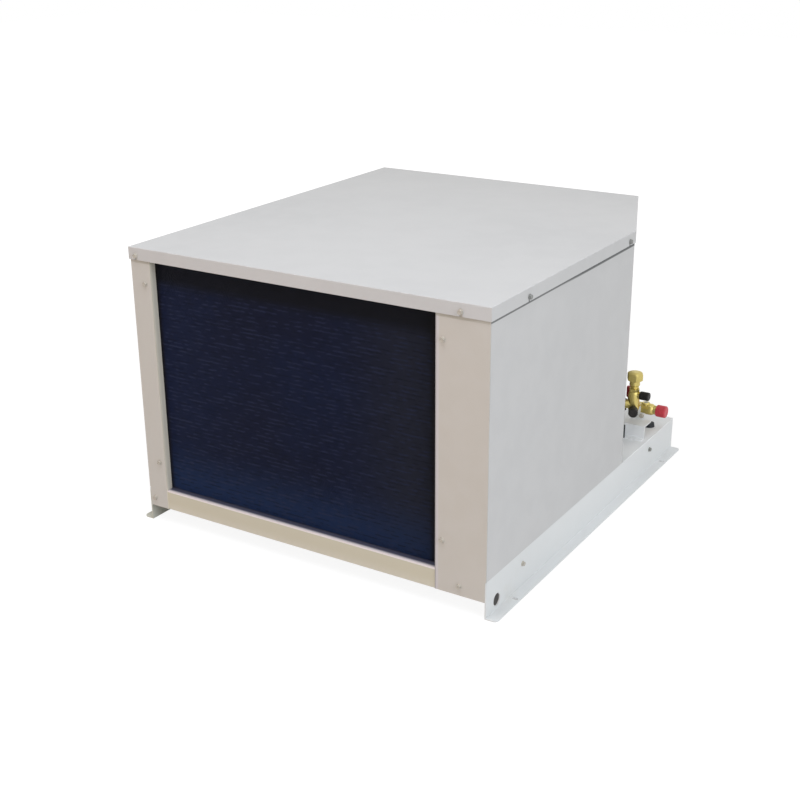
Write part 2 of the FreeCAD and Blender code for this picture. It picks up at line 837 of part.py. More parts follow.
# The motor lies in the cradle of a folded stand, and a clamping band goes round it
def motor_stand():
    middle = motor_front + motor_length / 2
    y0 = middle - stand_depth / 2
    y1 = middle + stand_depth / 2
    x0 = fan_x - stand_half_width
    x1 = fan_x + stand_half_width
    top = fan_z - motor_diameter / 5
    front = block(x0, y0, deck_height, x1, y0 + base_sheet, top)
    rear = block(x0, y1 - base_sheet, deck_height, x1, y1, top)
    foot = block(x0 - stand_foot, y0, deck_height, x1 + stand_foot, y1, deck_height + base_sheet)
    web = block(x0, y0, deck_height, x0 + base_sheet, y1, (deck_height + top) / 2)
    reach = stand_depth + 2 * base_sheet
    cradle = Part.makeCylinder(motor_diameter / 2 + sheet_gap, reach, place(fan_x, y0 - base_sheet, fan_z),
                               back)
    window_height = deck_height + stand_window
    window = Part.makeCylinder(stand_window / 2, reach, place(fan_x, y0 - base_sheet, window_height), back)
    return front.fuse([rear, foot, web]).removeSplitter().cut([cradle, window])


def motor_band():
    inner = motor_diameter / 2 + sheet_gap / 2
    start = motor_front + (motor_length - motor_band_width) / 2
    centre = place(fan_x, start, fan_z)
    ring = Part.makeCylinder(inner + sheet, motor_band_width, centre, back)
    bore = Part.makeCylinder(inner, 2 * motor_band_width, centre - back * (motor_band_width / 2), back)
    lugs = block(fan_x - band_lug, start, fan_z + inner, fan_x + band_lug, start + motor_band_width,
                 fan_z + inner + 2 * band_lug)
    gap = block(fan_x - band_lug / 3, start - sheet, fan_z, fan_x + band_lug / 3,
                start + motor_band_width + sheet,
                fan_z + inner + 3 * band_lug)
    return ring.fuse(lugs).cut([bore, gap])


# Compressor: welded shell on a foot plate, carried on rubber grommets
def grommet_points():
    half = compressor_foot_spacing / 2
    return [(compressor_x + dx, compressor_y + dy) for dx in (-half, half) for dy in (-half, half)]


def stub_direction():
    riser = suction_riser(0)
    direction = place(riser.x - compressor_x, riser.y - compressor_y, 0)
    direction.normalize()
    return direction


def discharge_stub():
    return place(compressor_x - compressor_diameter / 2 - stub_length, compressor_y, discharge_stub_height)


def suction_stub():
    reach = compressor_diameter / 2 + stub_length
    return place(compressor_x, compressor_y, suction_stub_height) + stub_direction() * reach


def compressor_shell():
    radius = compressor_diameter / 2
    plate_low = foot_plate_top - foot_plate_thickness
    body = vessel(compressor_x, compressor_y, plate_low, radius, compressor_shell_height, 0.3 * radius,
                  0.55 * radius)
    seam_height = plate_low + compressor_shell_height / 2
    seam = Part.makeCylinder(radius + seam_reach, seam_width,
                             place(compressor_x, compressor_y, seam_height), up)
    half = compressor_foot_spacing / 2 + grommet_diameter / 2
    corner = half - grommet_diameter
    plate_outline = [(corner, -half), (half, -corner), (half, corner), (corner, half), (-corner, half),
                     (-half, corner),
                     (-half, -corner), (-corner, -half)]
    plate = prism([(compressor_x + x, compressor_y + y) for x, y in plate_outline], plate_low, foot_plate_top)
    axis_low = place(compressor_x, compressor_y, discharge_stub_height)
    stubs = [rod(axis_low, discharge_stub(), discharge_diameter / 2 + stub_wall),
             rod(place(compressor_x, compressor_y, suction_stub_height), suction_stub(),
                 suction_diameter / 2 + stub_wall)]
    holes = [Part.makeCylinder(grommet_neck / 2 + sheet_gap, 3 * foot_plate_thickness,
                               place(x, y, plate_low - foot_plate_thickness), up)
             for x, y in grommet_points()]
    return body.fuse([seam, plate] + stubs).cut(holes)


def compressor_grommets():
    grommets = []
    for x, y in grommet_points():
        neck_top = grommet_height + 2 * foot_plate_thickness
        profile = [(compressor_bolt / 2, 0), (grommet_diameter / 2, 0),
                   (grommet_diameter / 2, grommet_height),
                   (grommet_neck / 2, grommet_height), (grommet_neck / 2, neck_top),
                   (compressor_bolt / 2, neck_top)]
        grommets.append(turned(profile, place(x, y, deck_height), up))
    return grommets


def compressor_bolts():
    bolts = []
    length = grommet_height + 2 * foot_plate_thickness
    for x, y in grommet_points():
        shank = Part.makeCylinder(compressor_bolt / 2, length, place(x, y, deck_height), up)
        washer = hex_bar(place(x, y, deck_height + length), up, grommet_neck + 2 * stub_wall, sheet)
        head = hex_bar(place(x, y, deck_height + length + sheet), up, 1.6 * compressor_bolt,
                       0.8 * compressor_bolt)
        bolts.append(shank.fuse([washer, head]).removeSplitter())
    return bolts


def terminal_cover():
    radius = compressor_diameter / 2
    front = compressor_y - radius - cover_reach
    low = foot_plate_top + cover_rise
    cover = block(compressor_x - cover_width / 2, front, low, compressor_x + cover_width / 2,
                  compressor_y - radius / 2,
                  low + cover_height)
    front_edges = [edge for edge in cover.Edges if abs(edge.CenterOfMass.y - front) < 0.01]
    cover = cover.makeChamfer(cover_chamfer, front_edges)
    shell_space = Part.makeCylinder(radius + sheet_gap, 3 * cover_height,
                                    place(compressor_x, compressor_y, low - cover_height), up)
    return cover.cut(shell_space)


def crankcase_heater():
    inner = compressor_diameter / 2 + sheet_gap
    profile = [(inner, 0), (inner + heater_thickness, 0), (inner + heater_thickness, heater_width),
               (inner, heater_width)]
    return turned(profile, place(compressor_x, compressor_y, foot_plate_top + heater_rise), up)


# Liquid receiver on a foot ring
def receiver_tank():
    radius = receiver_diameter / 2
    head = 0.45 * radius
    body = vessel(receiver_x, liquid_valve_y, deck_height + receiver_rise, radius, receiver_height, head,
                  head)
    ring = [(0.7 * radius, 0), (radius + stub_wall, 0), (radius + stub_wall, base_sheet),
            (0.7 * radius + base_sheet, base_sheet),
            (0.7 * radius + base_sheet, head), (0.7 * radius, head)]
    foot = turned(ring, place(receiver_x, liquid_valve_y, deck_height), up)
    stubs = [rod(place(receiver_x, liquid_valve_y, height), receiver_port(side, height),
                 liquid_diameter / 2 + stub_wall)
             for side, height in ((-1, condensate_line_height), (1, liquid_line_height))]
    return body.fuse([foot] + stubs).removeSplitter()


def receiver_port(side, height):
    return place(receiver_x + side * (receiver_diameter / 2 + stub_length), liquid_valve_y, height)


# Refrigerant lines. Gas goes from the compressor to the coil's top, liquid from its foot to the receiver
def discharge_line():
    start = discharge_stub()
    top = tube_heights()[-1]
    gas_y = tube_depth(1)
    points = [start, place(side_line_x, start.y, start.z), place(side_line_x, start.y, top),
              place(side_line_x, gas_y, top), place(coil_left - sheet, gas_y, top)]
    return bent_pipe(points, discharge_diameter, pipe_bend)


def condensate_line():
    first_row = tube_heights()[0]
    height = condensate_line_height
    points = [place(coil_left - sheet, tube_depth(0), first_row),
              place(side_line_x, tube_depth(0), first_row),
              place(side_line_x, tube_depth(1), height), place(side_line_x, liquid_valve_y, height),
              receiver_port(-1, height)]
    return bent_pipe(points, liquid_diameter, pipe_bend)


def liquid_line():
    ends = [(receiver_port(1, 0).x, drier_x), (drier_end, sight_glass_x - sight_glass_length / 2),
            (sight_glass_x + sight_glass_length / 2, liquid_body_start)]
    return [rod(place(start, liquid_valve_y, liquid_line_height),
                place(end, liquid_valve_y, liquid_line_height),
                liquid_diameter / 2) for start, end in ends]


def filter_drier():
    radius = drier_diameter / 2
    neck = liquid_diameter / 2 + stub_wall
    length = drier_length
    profile = [(0, 0), (neck, 0), (neck, drier_neck), (radius, drier_shoulder),
               (radius, length - drier_shoulder),
               (neck, length - drier_neck), (neck, length), (0, length)]
    return turned(profile, place(drier_x, liquid_valve_y, liquid_line_height), right)


def sight_glass_body():
    middle = place(sight_glass_x, liquid_valve_y, liquid_line_height)
    bar = hex_bar(middle - right * (sight_glass_length / 2), right, glass_diameter, sight_glass_length)
    housing = Part.makeCylinder(glass_diameter / 2 + stub_wall, glass_height, middle, up)
    pocket = Part.makeCylinder(glass_diameter / 2, glass_recess,
                               middle + up * (glass_height - glass_recess), up)
    return bar.fuse(housing).cut(pocket).removeSplitter()


def sight_glass_window():
    middle = place(sight_glass_x, liquid_valve_y, liquid_line_height + glass_height - glass_recess)
    return Part.makeCylinder(glass_diameter / 2 - sheet_gap / 2, glass_recess - sheet, middle, up)


# The suction line drops from its valve, goes in through the angled panel and rises to the compressor
def suction_riser(height):
    outwards = corner_directions()[1]
    foot = place(suction_valve_x, suction_valve_y, height)
    return foot - outwards * suction_run


def suction_line():
    outwards = corner_directions()[1]
    outlet = place(suction_valve_x, suction_valve_y, suction_outlet_height)
    points = [outlet - outwards * suction_outlet_reach, suction_riser(suction_outlet_height),
              suction_riser(suction_stub_height), suction_stub()]
    return bent_pipe(points, suction_diameter, pipe_bend)


# Control box: a tray on the right panel's inner face, under a loose cover
def control_box():
    outer = block(box_left, box_front, box_bottom, box_right, box_back, box_top)
    inner = block(box_left + sheet, box_front + sheet, box_bottom + sheet, box_right - sheet,
                  box_back - sheet,
                  box_top + sheet)
    return outer.cut(inner)


def control_box_cover():
    reach = sheet + cover_gap
    top = box_top + seat_gap + sheet
    outer = block(box_left - reach, box_front - reach, box_top - box_lip, box_right, box_back + reach, top)
    inner = block(box_left - cover_gap, box_front - cover_gap, box_top - box_lip - sheet, box_right + sheet,
                  box_back + cover_gap, box_top + seat_gap)
    return outer.cut(inner)


def contactor():
    x0 = box_left + contactor_inset
    y0 = box_front + contactor_inset
    floor = box_bottom + sheet
    tiers = []
    for tier in range(3):
        inset = contactor_step * tier * (tier + 1) / 2
        top = floor + contactor_base + tier * (contactor_height - contactor_base) / 2
        tiers.append(block(x0 + inset, y0 + 2 * inset, floor, x0 + contactor_width - inset,
                           y0 + contactor_length - 2 * inset, top))
    return tiers[0].fuse(tiers[1:]).removeSplitter()


def run_capacitor():
    spot = place(box_right - capacitor_diameter, box_front + capacitor_diameter, box_bottom + sheet)
    return Part.makeCylinder(capacitor_diameter / 2, capacitor_height, spot, up)


def terminal_block():
    x0 = box_left + contactor_inset
    y1 = box_back - contactor_inset
    floor = box_bottom + sheet
    base = block(x0, y1 - terminal_depth, floor, x0 + terminal_length, y1, floor + terminal_depth / 2)
    barriers = []
    for i in range(terminal_count + 1):
        x = x0 + i * (terminal_length - base_sheet) / terminal_count
        barriers.append(block(x, y1 - terminal_depth, floor, x + base_sheet, y1, floor + terminal_depth))
    return base.fuse(barriers).removeSplitter()


# Dual pressure control on the box's rear wall, with its reset button on top
def reset_point(height):
    return place(control_x + control_width / 4, box_back + sheet_gap + control_depth / 2, height)


def pressure_control():
    y0 = box_back + sheet_gap
    x0 = control_x - control_width / 2
    case = block(x0, y0, control_top - control_height, x0 + control_width, y0 + control_depth, control_top)
    rear_edges = [edge for edge in case.Edges if abs(edge.CenterOfMass.y - (y0 + control_depth)) < 0.01]
    case = case.makeChamfer(cover_chamfer, rear_edges)
    bellows = []
    for share in (0.25, 0.75):
        foot = place(x0 + control_width * share, y0 + control_depth / 2,
                     control_top - control_height - bellows_length)
        bellows.append(Part.makeCylinder(bellows_radius, bellows_length, foot, up))
    well_floor = control_top - reset_length - reset_travel
    well = Part.makeCylinder(reset_radius + reset_clearance, reset_length * 2, reset_point(well_floor), up)
    return case.fuse(bellows).cut(well)


def reset_button():
    return Part.makeCylinder(reset_radius, reset_length + seat_gap,
                             reset_point(control_top - reset_length + reset_travel), up)


def bracket_left():
    return on_corner_panel(bracket_y, 0).x + bracket_panel_gap


# Open corner: a folded bracket on the deck, with a tab that carries both valves
def valve_bracket():
    right_end = panel_half - bracket_rail_gap
    left_front = on_corner_panel(bracket_y - bracket_foot, 0).x + bracket_panel_gap
    left = bracket_left()
    under_shelf = bracket_shelf_height - base_sheet
    foot = block(left_front, bracket_y - bracket_foot, deck_height, right_end, bracket_y,
                 deck_height + base_sheet)
    face = block(left, bracket_y, deck_height, right_end, bracket_y + base_sheet, bracket_shelf_height)
    shelf = block(left, bracket_y, under_shelf, right_end, bracket_back, bracket_shelf_height)
    tab = block(left, bracket_back - base_sheet, under_shelf, left + bracket_tab_width, bracket_back,
                bracket_shelf_height + bracket_tab_height)
    ledge = block(left, bracket_back - base_sheet, under_shelf, left + bracket_ledge_width, bracket_back,
                  bracket_shelf_height + bracket_ledge_height)
    return face.fuse([foot, shelf, tab, ledge]).removeSplitter()


# Where lines and wires pass the angled panel: a point on it, the hole's radius and the grommet's bore
def panel_openings():
    outwards = corner_directions()[1]
    outlet = place(suction_valve_x, suction_valve_y, suction_outlet_height)
    distance = (outlet - on_corner_panel(suction_valve_y, suction_outlet_height)).dot(outwards)
    suction_bore = suction_outlet_radius + sheet_gap
    slant = (grommet_flange + grommet_tail) * corner_cut_width / corner_cut_depth
    liquid_bore = liquid_diameter / 2 + slant
    conduit_radius = conduit_grommet_diameter / 2
    return [(outlet - outwards * distance, suction_bore + grommet_wall, suction_bore),
            (on_corner_panel(liquid_valve_y, liquid_line_height), liquid_bore + grommet_wall, liquid_bore),
            (on_corner_panel(conduit_grommet_y, conduit_grommet_height), conduit_radius, conduit_radius / 2)]


# A grommet's flange lies on one side of the sheet, and its tail reaches through the hole
def grommet(point, direction, hole, bore, tail):
    neck = hole - sheet_gap
    profile = [(bore, -tail), (neck, -tail), (neck, 0), (neck + grommet_flange, 0),
               (neck + grommet_flange / 2, grommet_flange), (bore, grommet_flange)]
    return turned(profile, point, direction)


def rubber_grommets():
    outwards = corner_directions()[1]
    neck = bushing_neck / 2 - sheet_gap
    deck_profile = [(neck / 2, -base_sheet - grommet_flange), (neck, -base_sheet - grommet_flange), (neck, 0),
                    (bushing_diameter / 2, 0), (bushing_diameter / 2 - sheet, bushing_height),
                    (neck / 2, bushing_height)]
    rings = [turned(deck_profile, place(bushing_x, bushing_y, deck_height), up)]
    suction_point, suction_hole, suction_bore = panel_openings()[0]
    rings.append(grommet(suction_point - outwards * sheet, -outwards, suction_hole, suction_bore, sheet))
    for point, hole, bore in panel_openings()[1:]:
        rings.append(grommet(point, outwards, hole, bore, grommet_tail))
    return rings


# Suction service valve: an upright forged body with a stem under its seal cap and three capped ports
def access_spot(height):
    along, outwards = corner_directions()
    axis_point = place(suction_valve_x, suction_valve_y, height)
    return axis_point + along * access_port_back - outwards * access_port_inwards


def front_port_direction():
    return corner_directions()[0] * -1


def suction_valve_body():
    axis = place(suction_valve_x, suction_valve_y, 0)
    shoulder = suction_body_top - valve_chamfer
    stem_bore = stem_diameter / 2 + stem_clearance
    bore_floor = suction_body_top - stem_seat_depth
    neck_top = suction_body_top + suction_neck_height
    profile = [(0, suction_body_bottom), (valve_neck_radius, suction_body_bottom),
               (valve_body_radius, suction_body_bottom + valve_chamfer), (valve_body_radius, shoulder),
               (valve_neck_radius, suction_body_top), (valve_neck_radius, neck_top), (stem_bore, neck_top),
               (stem_bore, bore_floor), (0, bore_floor)]
    barrel = turned(profile, axis, up)
    gland = hex_bar(place(suction_valve_x, suction_valve_y, suction_body_top), up, valve_gland_flats,
                    valve_gland_height)
    gauge_start = place(suction_valve_x + valve_body_radius / 2, suction_valve_y, gauge_port_height)
    gauge = rod(gauge_start, gauge_start + right * (port_reach - valve_body_radius / 2), port_radius)
    front_start = place(suction_valve_x, suction_valve_y, front_port_height)
    front = rod(front_start, front_start + front_port_direction() * port_reach, port_radius)
    outwards = corner_directions()[1]
    outlet_start = place(suction_valve_x, suction_valve_y, suction_outlet_height)
    outlet = rod(outlet_start, outlet_start - outwards * suction_outlet_reach, suction_outlet_radius)
    gauge_nut = hex_bar(gauge_start, right, port_nut_flats, port_nut_length - valve_body_radius / 2)
    front_nut = hex_bar(front_start, front_port_direction(), port_nut_flats, port_nut_length)
    arm_start = place(suction_valve_x, suction_valve_y, access_port_height)
    arm = bent_pipe([arm_start, access_spot(access_port_height),
                     access_spot(access_port_height + access_port_length)],
                    2 * access_port_radius, access_port_radius + 1)
    lug = block(suction_valve_x - valve_body_radius / 2, suction_valve_y, suction_body_bottom + valve_chamfer,
                suction_valve_x + valve_body_radius / 2, bracket_back - base_sheet,
                bracket_shelf_height + bracket_tab_height)
    stem_space = Part.makeCylinder(stem_bore, cabinet_height,
                                   place(suction_valve_x, suction_valve_y, bore_floor), up)
    forging = barrel.fuse([gland, outlet, gauge, gauge_nut, front, front_nut, arm, lug])
    return forging.removeSplitter().cut(stem_space)


# The suction valve's stem has a square end for the service wrench
def suction_valve_stem():
    low = place(suction_valve_x, suction_valve_y, suction_body_top - stem_seat_depth + seat_gap)
    length = stem_seat_depth + suction_neck_height - seat_gap
    shank = Part.makeCylinder(stem_diameter / 2, length, low, up)
    half = stem_square / 2
    top = low.z + length
    square = block(low.x - half, low.y - half, top, low.x + half, low.y + half, top + stem_square_length)
    return shank.fuse(square)


# A hollow brass cap: a round skirt, then a hexagon with a domed end
def suction_seal_cap():
    mouth = place(suction_valve_x, suction_valve_y, suction_body_top + seal_cap_gap)
    inside = valve_neck_radius + cap_clearance
    corner = seal_cap_flats / math.sqrt(3)
    top = seal_cap_skirt + seal_cap_hex
    skirt = Part.makeCylinder(inside + seal_cap_wall, seal_cap_skirt, mouth, up)
    hexagon = hex_bar(mouth + up * seal_cap_skirt, up, seal_cap_flats, seal_cap_hex + seal_cap_dome)
    rise = (corner ** 2 + seal_cap_dome ** 2) / (2 * seal_cap_dome)
    dome = Part.makeSphere(rise, mouth + up * (top + seal_cap_dome - rise))
    bore = Part.makeCylinder(inside, top - seal_cap_wall, mouth, up)
    return skirt.fuse(hexagon.common(dome)).cut(bore)


# A round plastic cap pushed over a port's end and closed at its outer end
def port_cap(mouth, direction, radius, length, bore_radius):
    profile = [(0, length - port_cap_end), (bore_radius, length - port_cap_end), (bore_radius, 0),
               (radius, 0),
               (radius, length - port_cap_edge), (radius - port_cap_edge, length), (0, length)]
    return turned(profile, mouth, direction)


def suction_gauge_cap():
    tip = place(suction_valve_x + port_reach, suction_valve_y, gauge_port_height)
    mouth = tip + right * (seat_gap + port_cap_end - gauge_cap_length)
    return port_cap(mouth, right, gauge_cap_radius, gauge_cap_length, port_radius + cap_clearance)


def suction_front_cap():
    direction = front_port_direction()
    tip = place(suction_valve_x, suction_valve_y, front_port_height) + direction * port_reach
    mouth = tip + direction * (seat_gap + port_cap_end - gauge_cap_length)
    return port_cap(mouth, direction, front_cap_radius, gauge_cap_length, port_radius + cap_clearance)


def suction_access_cap():
    mouth = access_spot(access_port_height + access_port_length + seat_gap + port_cap_end - access_cap_length)
    return port_cap(mouth, up, access_cap_radius, access_cap_length, access_port_radius + cap_clearance)


# Liquid service valve: a lying body that ends in a capped flare port, with its stem flush in a boss on top
def liquid_valve_body():
    neck = (valve_body_radius + liquid_port_radius) / 2
    port = liquid_port_radius
    length = liquid_body_length
    profile = [(0, 0), (port, 0), (port, valve_chamfer), (valve_body_radius, 3 * valve_chamfer),
               (valve_body_radius, length - 3 * valve_chamfer), (neck, length - valve_chamfer),
               (neck, length),
               (port, length), (port, length + liquid_port_length), (0, length + liquid_port_length)]
    barrel = turned(profile, place(liquid_body_start, liquid_valve_y, liquid_line_height), right)
    axis = place(liquid_stem_x, liquid_valve_y, liquid_line_height)
    boss = Part.makeCylinder(stem_diameter, liquid_boss_height, axis, up)
    bore = Part.makeCylinder(stem_diameter / 2 + stem_clearance, liquid_boss_height, axis + up * seat_gap, up)
    return barrel.fuse(boss).removeSplitter().cut(bore)


def liquid_valve_stem():
    low = place(liquid_stem_x, liquid_valve_y, liquid_line_height + 2 * seat_gap)
    shank = Part.makeCylinder(stem_diameter / 2, liquid_boss_height, low, up)
    socket = hex_bar(low + up * (liquid_boss_height - stem_socket_depth), up, stem_socket_flats,
                     liquid_boss_height)
    return shank.cut(socket)


def liquid_line_cap():
    tip = place(liquid_body_end + liquid_port_length, liquid_valve_y, liquid_line_height)
    mouth = tip + right * (seat_gap + port_cap_end - liquid_line_cap_length)
    return port_cap(mouth, right, liquid_line_cap_radius, liquid_line_cap_length,
                    liquid_port_radius + cap_clearance)


os.makedirs("parts", exist_ok=True)

save("deck_pan", deck_pan())
save("left_foot_rail", foot_rail(-1))
save("right_foot_rail", foot_rail(1))
save("left_front_post", front_post(-1))
save("right_front_post", front_post(1))
save("front_top_rail", front_top_rail())
save("left_side_panel", left_side_panel())
save("right_side_panel", right_side_panel())
save("angled_valve_panel", angled_valve_panel())
save("rear_louver_panel", rear_louver_panel())
save("lid", lid())
save("lid_screws", screws(lid_screws(), panel_inset + seat_gap))
save("cabinet_screws", screws(post_screws() + rail_screws() + bracket_screws(), 0))
save("coil_fin_pack", coil_fin_pack())
save("coil_end_plates", coil_end_plates())
save("coil_return_bends", coil_return_bends())
save("fan_shroud", fan_shroud())
save("fan_blades", fan_blades())
save("fan_hub", fan_hub())
save("motor_shaft", motor_shaft())
save("fan_motor", fan_motor())
save("motor_stand", motor_stand())
save("motor_band", motor_band())
save("compressor_shell", compressor_shell())
save("compressor_grommets", compressor_grommets())
save("compressor_bolts", compressor_bolts())
save("terminal_cover", terminal_cover())
save("crankcase_heater", crankcase_heater())
save("receiver_tank", receiver_tank())
save("discharge_line", discharge_line())
save("condensate_line", condensate_line())
save("liquid_line", liquid_line())
save("filter_drier", filter_drier())
save("sight_glass_body", sight_glass_body())
save("sight_glass_window", sight_glass_window())
save("suction_line", suction_line())
save("control_box", control_box())
save("control_box_cover", control_box_cover())
save("contactor", contactor())
save("run_capacitor", run_capacitor())
save("terminal_block", terminal_block())
save("pressure_control", pressure_control())
save("reset_button", reset_button())
save("valve_bracket", valve_bracket())
save("rubber_grommets", rubber_grommets())
save("suction_valve_body", suction_valve_body())
save("suction_valve_stem", suction_valve_stem())
save("suction_seal_cap", suction_seal_cap())
save("suction_gauge_cap", suction_gauge_cap())
save("suction_front_cap", suction_front_cap())
save("suction_access_cap", suction_access_cap())
save("liquid_valve_body", liquid_valve_body())
save("liquid_valve_stem", liquid_valve_stem())
save("liquid_line_cap", liquid_line_cap())

for name, shape in parts.items():
    if not shape.isValid() or not shape.Solids:
        print("not a valid solid:", name)
print(len(parts), "sub-parts")
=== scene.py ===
import math

import bpy
import numpy as np
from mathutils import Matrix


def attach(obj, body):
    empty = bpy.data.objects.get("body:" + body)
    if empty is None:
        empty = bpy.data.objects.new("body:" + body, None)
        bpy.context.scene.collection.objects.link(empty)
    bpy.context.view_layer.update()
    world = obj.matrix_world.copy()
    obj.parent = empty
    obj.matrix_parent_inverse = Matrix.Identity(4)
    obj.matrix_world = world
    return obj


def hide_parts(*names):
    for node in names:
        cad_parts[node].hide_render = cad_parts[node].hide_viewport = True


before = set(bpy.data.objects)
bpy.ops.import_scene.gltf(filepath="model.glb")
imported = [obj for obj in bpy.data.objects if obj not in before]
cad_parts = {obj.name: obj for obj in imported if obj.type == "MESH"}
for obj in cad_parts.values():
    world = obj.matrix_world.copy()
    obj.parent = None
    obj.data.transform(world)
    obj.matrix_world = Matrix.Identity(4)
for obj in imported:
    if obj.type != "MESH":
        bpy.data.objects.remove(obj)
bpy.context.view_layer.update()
mm = 0.001

right = np.array([1.0, 0.0, 0.0])
back = np.array([0.0, 1.0, 0.0])
up = np.array([0.0, 0.0, 1.0])
cornerAlong = np.array([-0.36641, 0.93045, 0.0])  # along the cut corner, towards the rear
cornerOut = np.array([0.93045, 0.36641, 0.0])  # out of the cut corner


# Materials. A finish is a base colour with layers on top. Each layer is a pattern from 0 to 1 that tints the
# colour, adds to the roughness and raises the surface, all at once, by the layer's own amounts.
def setInput(tree, made, key, value):
    if isinstance(value, bpy.types.NodeSocket):
        tree.links.new(value, made.inputs[key])
    else:
        made.inputs[key].default_value = value


def addNode(tree, kind, inputs=None, **settings):
    made = tree.nodes.new("ShaderNode" + kind)
    for key, value in settings.items():
        setattr(made, key, value)
    for key, value in (inputs or {}).items():
        setInput(tree, made, key, value)
    return made


def maths(tree, operation, first, second=0.0, clamp=False):
    return addNode(tree, "Math", {0: first, 1: second}, operation=operation, use_clamp=clamp).outputs[0]


# A layer's pattern: a texture, a box or a ramp along one axis, brought to 0 to 1 between the layer's low and high.
# Lengths are in metres, and a texture's scale is in repeats to the metre.
def layerPattern(tree, place, layer):
    kind = layer.get("kind", "noise")
    low, high = layer.get("low", 0.35), layer.get("high", 0.65)
    if kind == "box":  # how far a point is outside the box, counted below zero inside it
        outside = addNode(tree, "VectorMath", {0: place, 1: layer["centre"]}, operation="SUBTRACT").outputs[0]
        outside = addNode(tree, "VectorMath", {0: outside}, operation="ABSOLUTE").outputs[0]
        outside = addNode(tree, "VectorMath", {0: outside, 1: layer["half"]}, operation="SUBTRACT").outputs[0]
        split = addNode(tree, "SeparateXYZ", {0: outside}).outputs
        value = maths(tree, "MAXIMUM", maths(tree, "MAXIMUM", split[0], split[1]), split[2])
        low, high = 0.0, -layer["soft"]
    elif kind in ("alongX", "alongY", "alongZ"):
        value = addNode(tree, "SeparateXYZ", {0: place}).outputs[kind[-1]]
    else:
        spot = addNode(tree, "VectorMath", {0: place, 1: layer.get("stretch", (1, 1, 1))}, operation="MULTIPLY")
        inputs = {"Vector": spot.outputs[0], "Scale": layer["scale"]}
        if kind == "noise":
            inputs.update({"Detail": layer.get("detail", 2.0), "Roughness": layer.get("grit", 0.5)})
            value = addNode(tree, "TexNoise", inputs).outputs["Fac"]
        elif kind == "cells":
            value = addNode(tree, "TexVoronoi", inputs).outputs["Color"]
        else:  # waves
            inputs.update({"Distortion": layer.get("bend", 0.0), "Detail": 1.0,
                           "Detail Scale": layer.get("bendScale", 1.0)})
            value = addNode(tree, "TexWave", inputs, bands_direction="Z").outputs["Fac"]
    return addNode(tree, "MapRange", {0: value, 1: low, 2: high},
                   interpolation_type=layer.get("curve", "SMOOTHSTEP")).outputs[0]


def makeFinish(name, look):
    material = bpy.data.materials.new(name)
    material.use_nodes = True
    tree = material.node_tree
    shader = tree.nodes["Principled BSDF"]
    place = addNode(tree, "TexCoord").outputs["Object"]
    colour = (*look["colour"], 1.0)
    rough = look["rough"]
    height = None
    for layer in look["layers"]:
        pattern = layerPattern(tree, place, layer)
        if "only" in layer:
            pattern = maths(tree, "MULTIPLY", pattern, layerPattern(tree, place, layer["only"]))
        if "tint" in layer:
            share = maths(tree, "MULTIPLY", pattern, layer.get("amount", 1.0))
            mixed = addNode(tree, "Mix", {0: share, 6: colour, 7: (*layer["tint"], 1.0)}, data_type="RGBA")
            colour = mixed.outputs[2]
        if "rough" in layer:
            rough = maths(tree, "ADD", rough, maths(tree, "MULTIPLY", pattern, layer["rough"]))
        if "raise" in layer:  # in millimetres
            part = maths(tree, "MULTIPLY", pattern, layer["raise"] * mm)
            height = part if height is None else maths(tree, "ADD", height, part)
    setInput(tree, shader, "Base Color", colour)
    setInput(tree, shader, "Roughness", rough)
    if height is not None:
        bump = addNode(tree, "Bump", {"Strength": 1.0, "Distance": 1.0, "Height": height})
        setInput(tree, shader, "Normal", bump.outputs[0])
    for key, value in look.get("shader", {}).items():
        shader.inputs[key].default_value = value
    return material


# Light grey-white powder coat: orange peel, faint clouding, fine dust in the texture, a little dirt low down
orangePeel = {"scale": 520.0, "detail": 1.0, "low": 0.3, "high": 0.7, "raise": 0.010, "rough": 0.05}
coatLayers = [
    {"scale": 2.5, "low": 0.3, "high": 0.7, "tint": (0.57, 0.572, 0.575), "amount": 0.6, "rough": 0.03},
    {"scale": 22.0, "detail": 4.0, "tint": (0.63, 0.63, 0.63), "amount": 0.35},
    orangePeel,
    {"scale": 1500.0, "low": 0.62, "high": 0.72, "tint": (0.50, 0.49, 0.47), "amount": 0.25},
    {"scale": 9.0, "detail": 6.0, "grit": 0.7, "low": 0.55, "high": 0.75, "tint": (0.54, 0.52, 0.48),
     "amount": 0.18, "rough": 0.08, "only": {"kind": "alongZ", "low": 0.10, "high": 0.0}}]
powderCoat = makeFinish("powderCoat", {
    "colour": (0.60, 0.60, 0.60), "rough": 0.52, "layers": coatLayers, "shader": {"Specular IOR Level": 0.25}})

# The side panel is as the rest, with a painted shade line under the lid's lip, widest and darkest about the middle
lipShadeLine = {"kind": "box", "soft": 0.0010, "tint": (0.10, 0.105, 0.105)}
sideCoat = makeFinish("sideCoat", {
    "colour": (0.60, 0.60, 0.60), "rough": 0.52,
    "layers": coatLayers + [
        {**lipShadeLine, "centre": (0.353, -0.13, 0.4975), "half": (0.004, 0.278, 0.0029), "amount": 0.85,
         "only": {"scale": 7.0, "low": 0.15, "high": 0.50}},
        {**lipShadeLine, "centre": (0.353, -0.03, 0.4975), "half": (0.004, 0.170, 0.0044), "amount": 0.8,
         "only": {"kind": "alongY", "low": -0.20, "high": -0.06}}],
    "shader": {"Specular IOR Level": 0.25}})
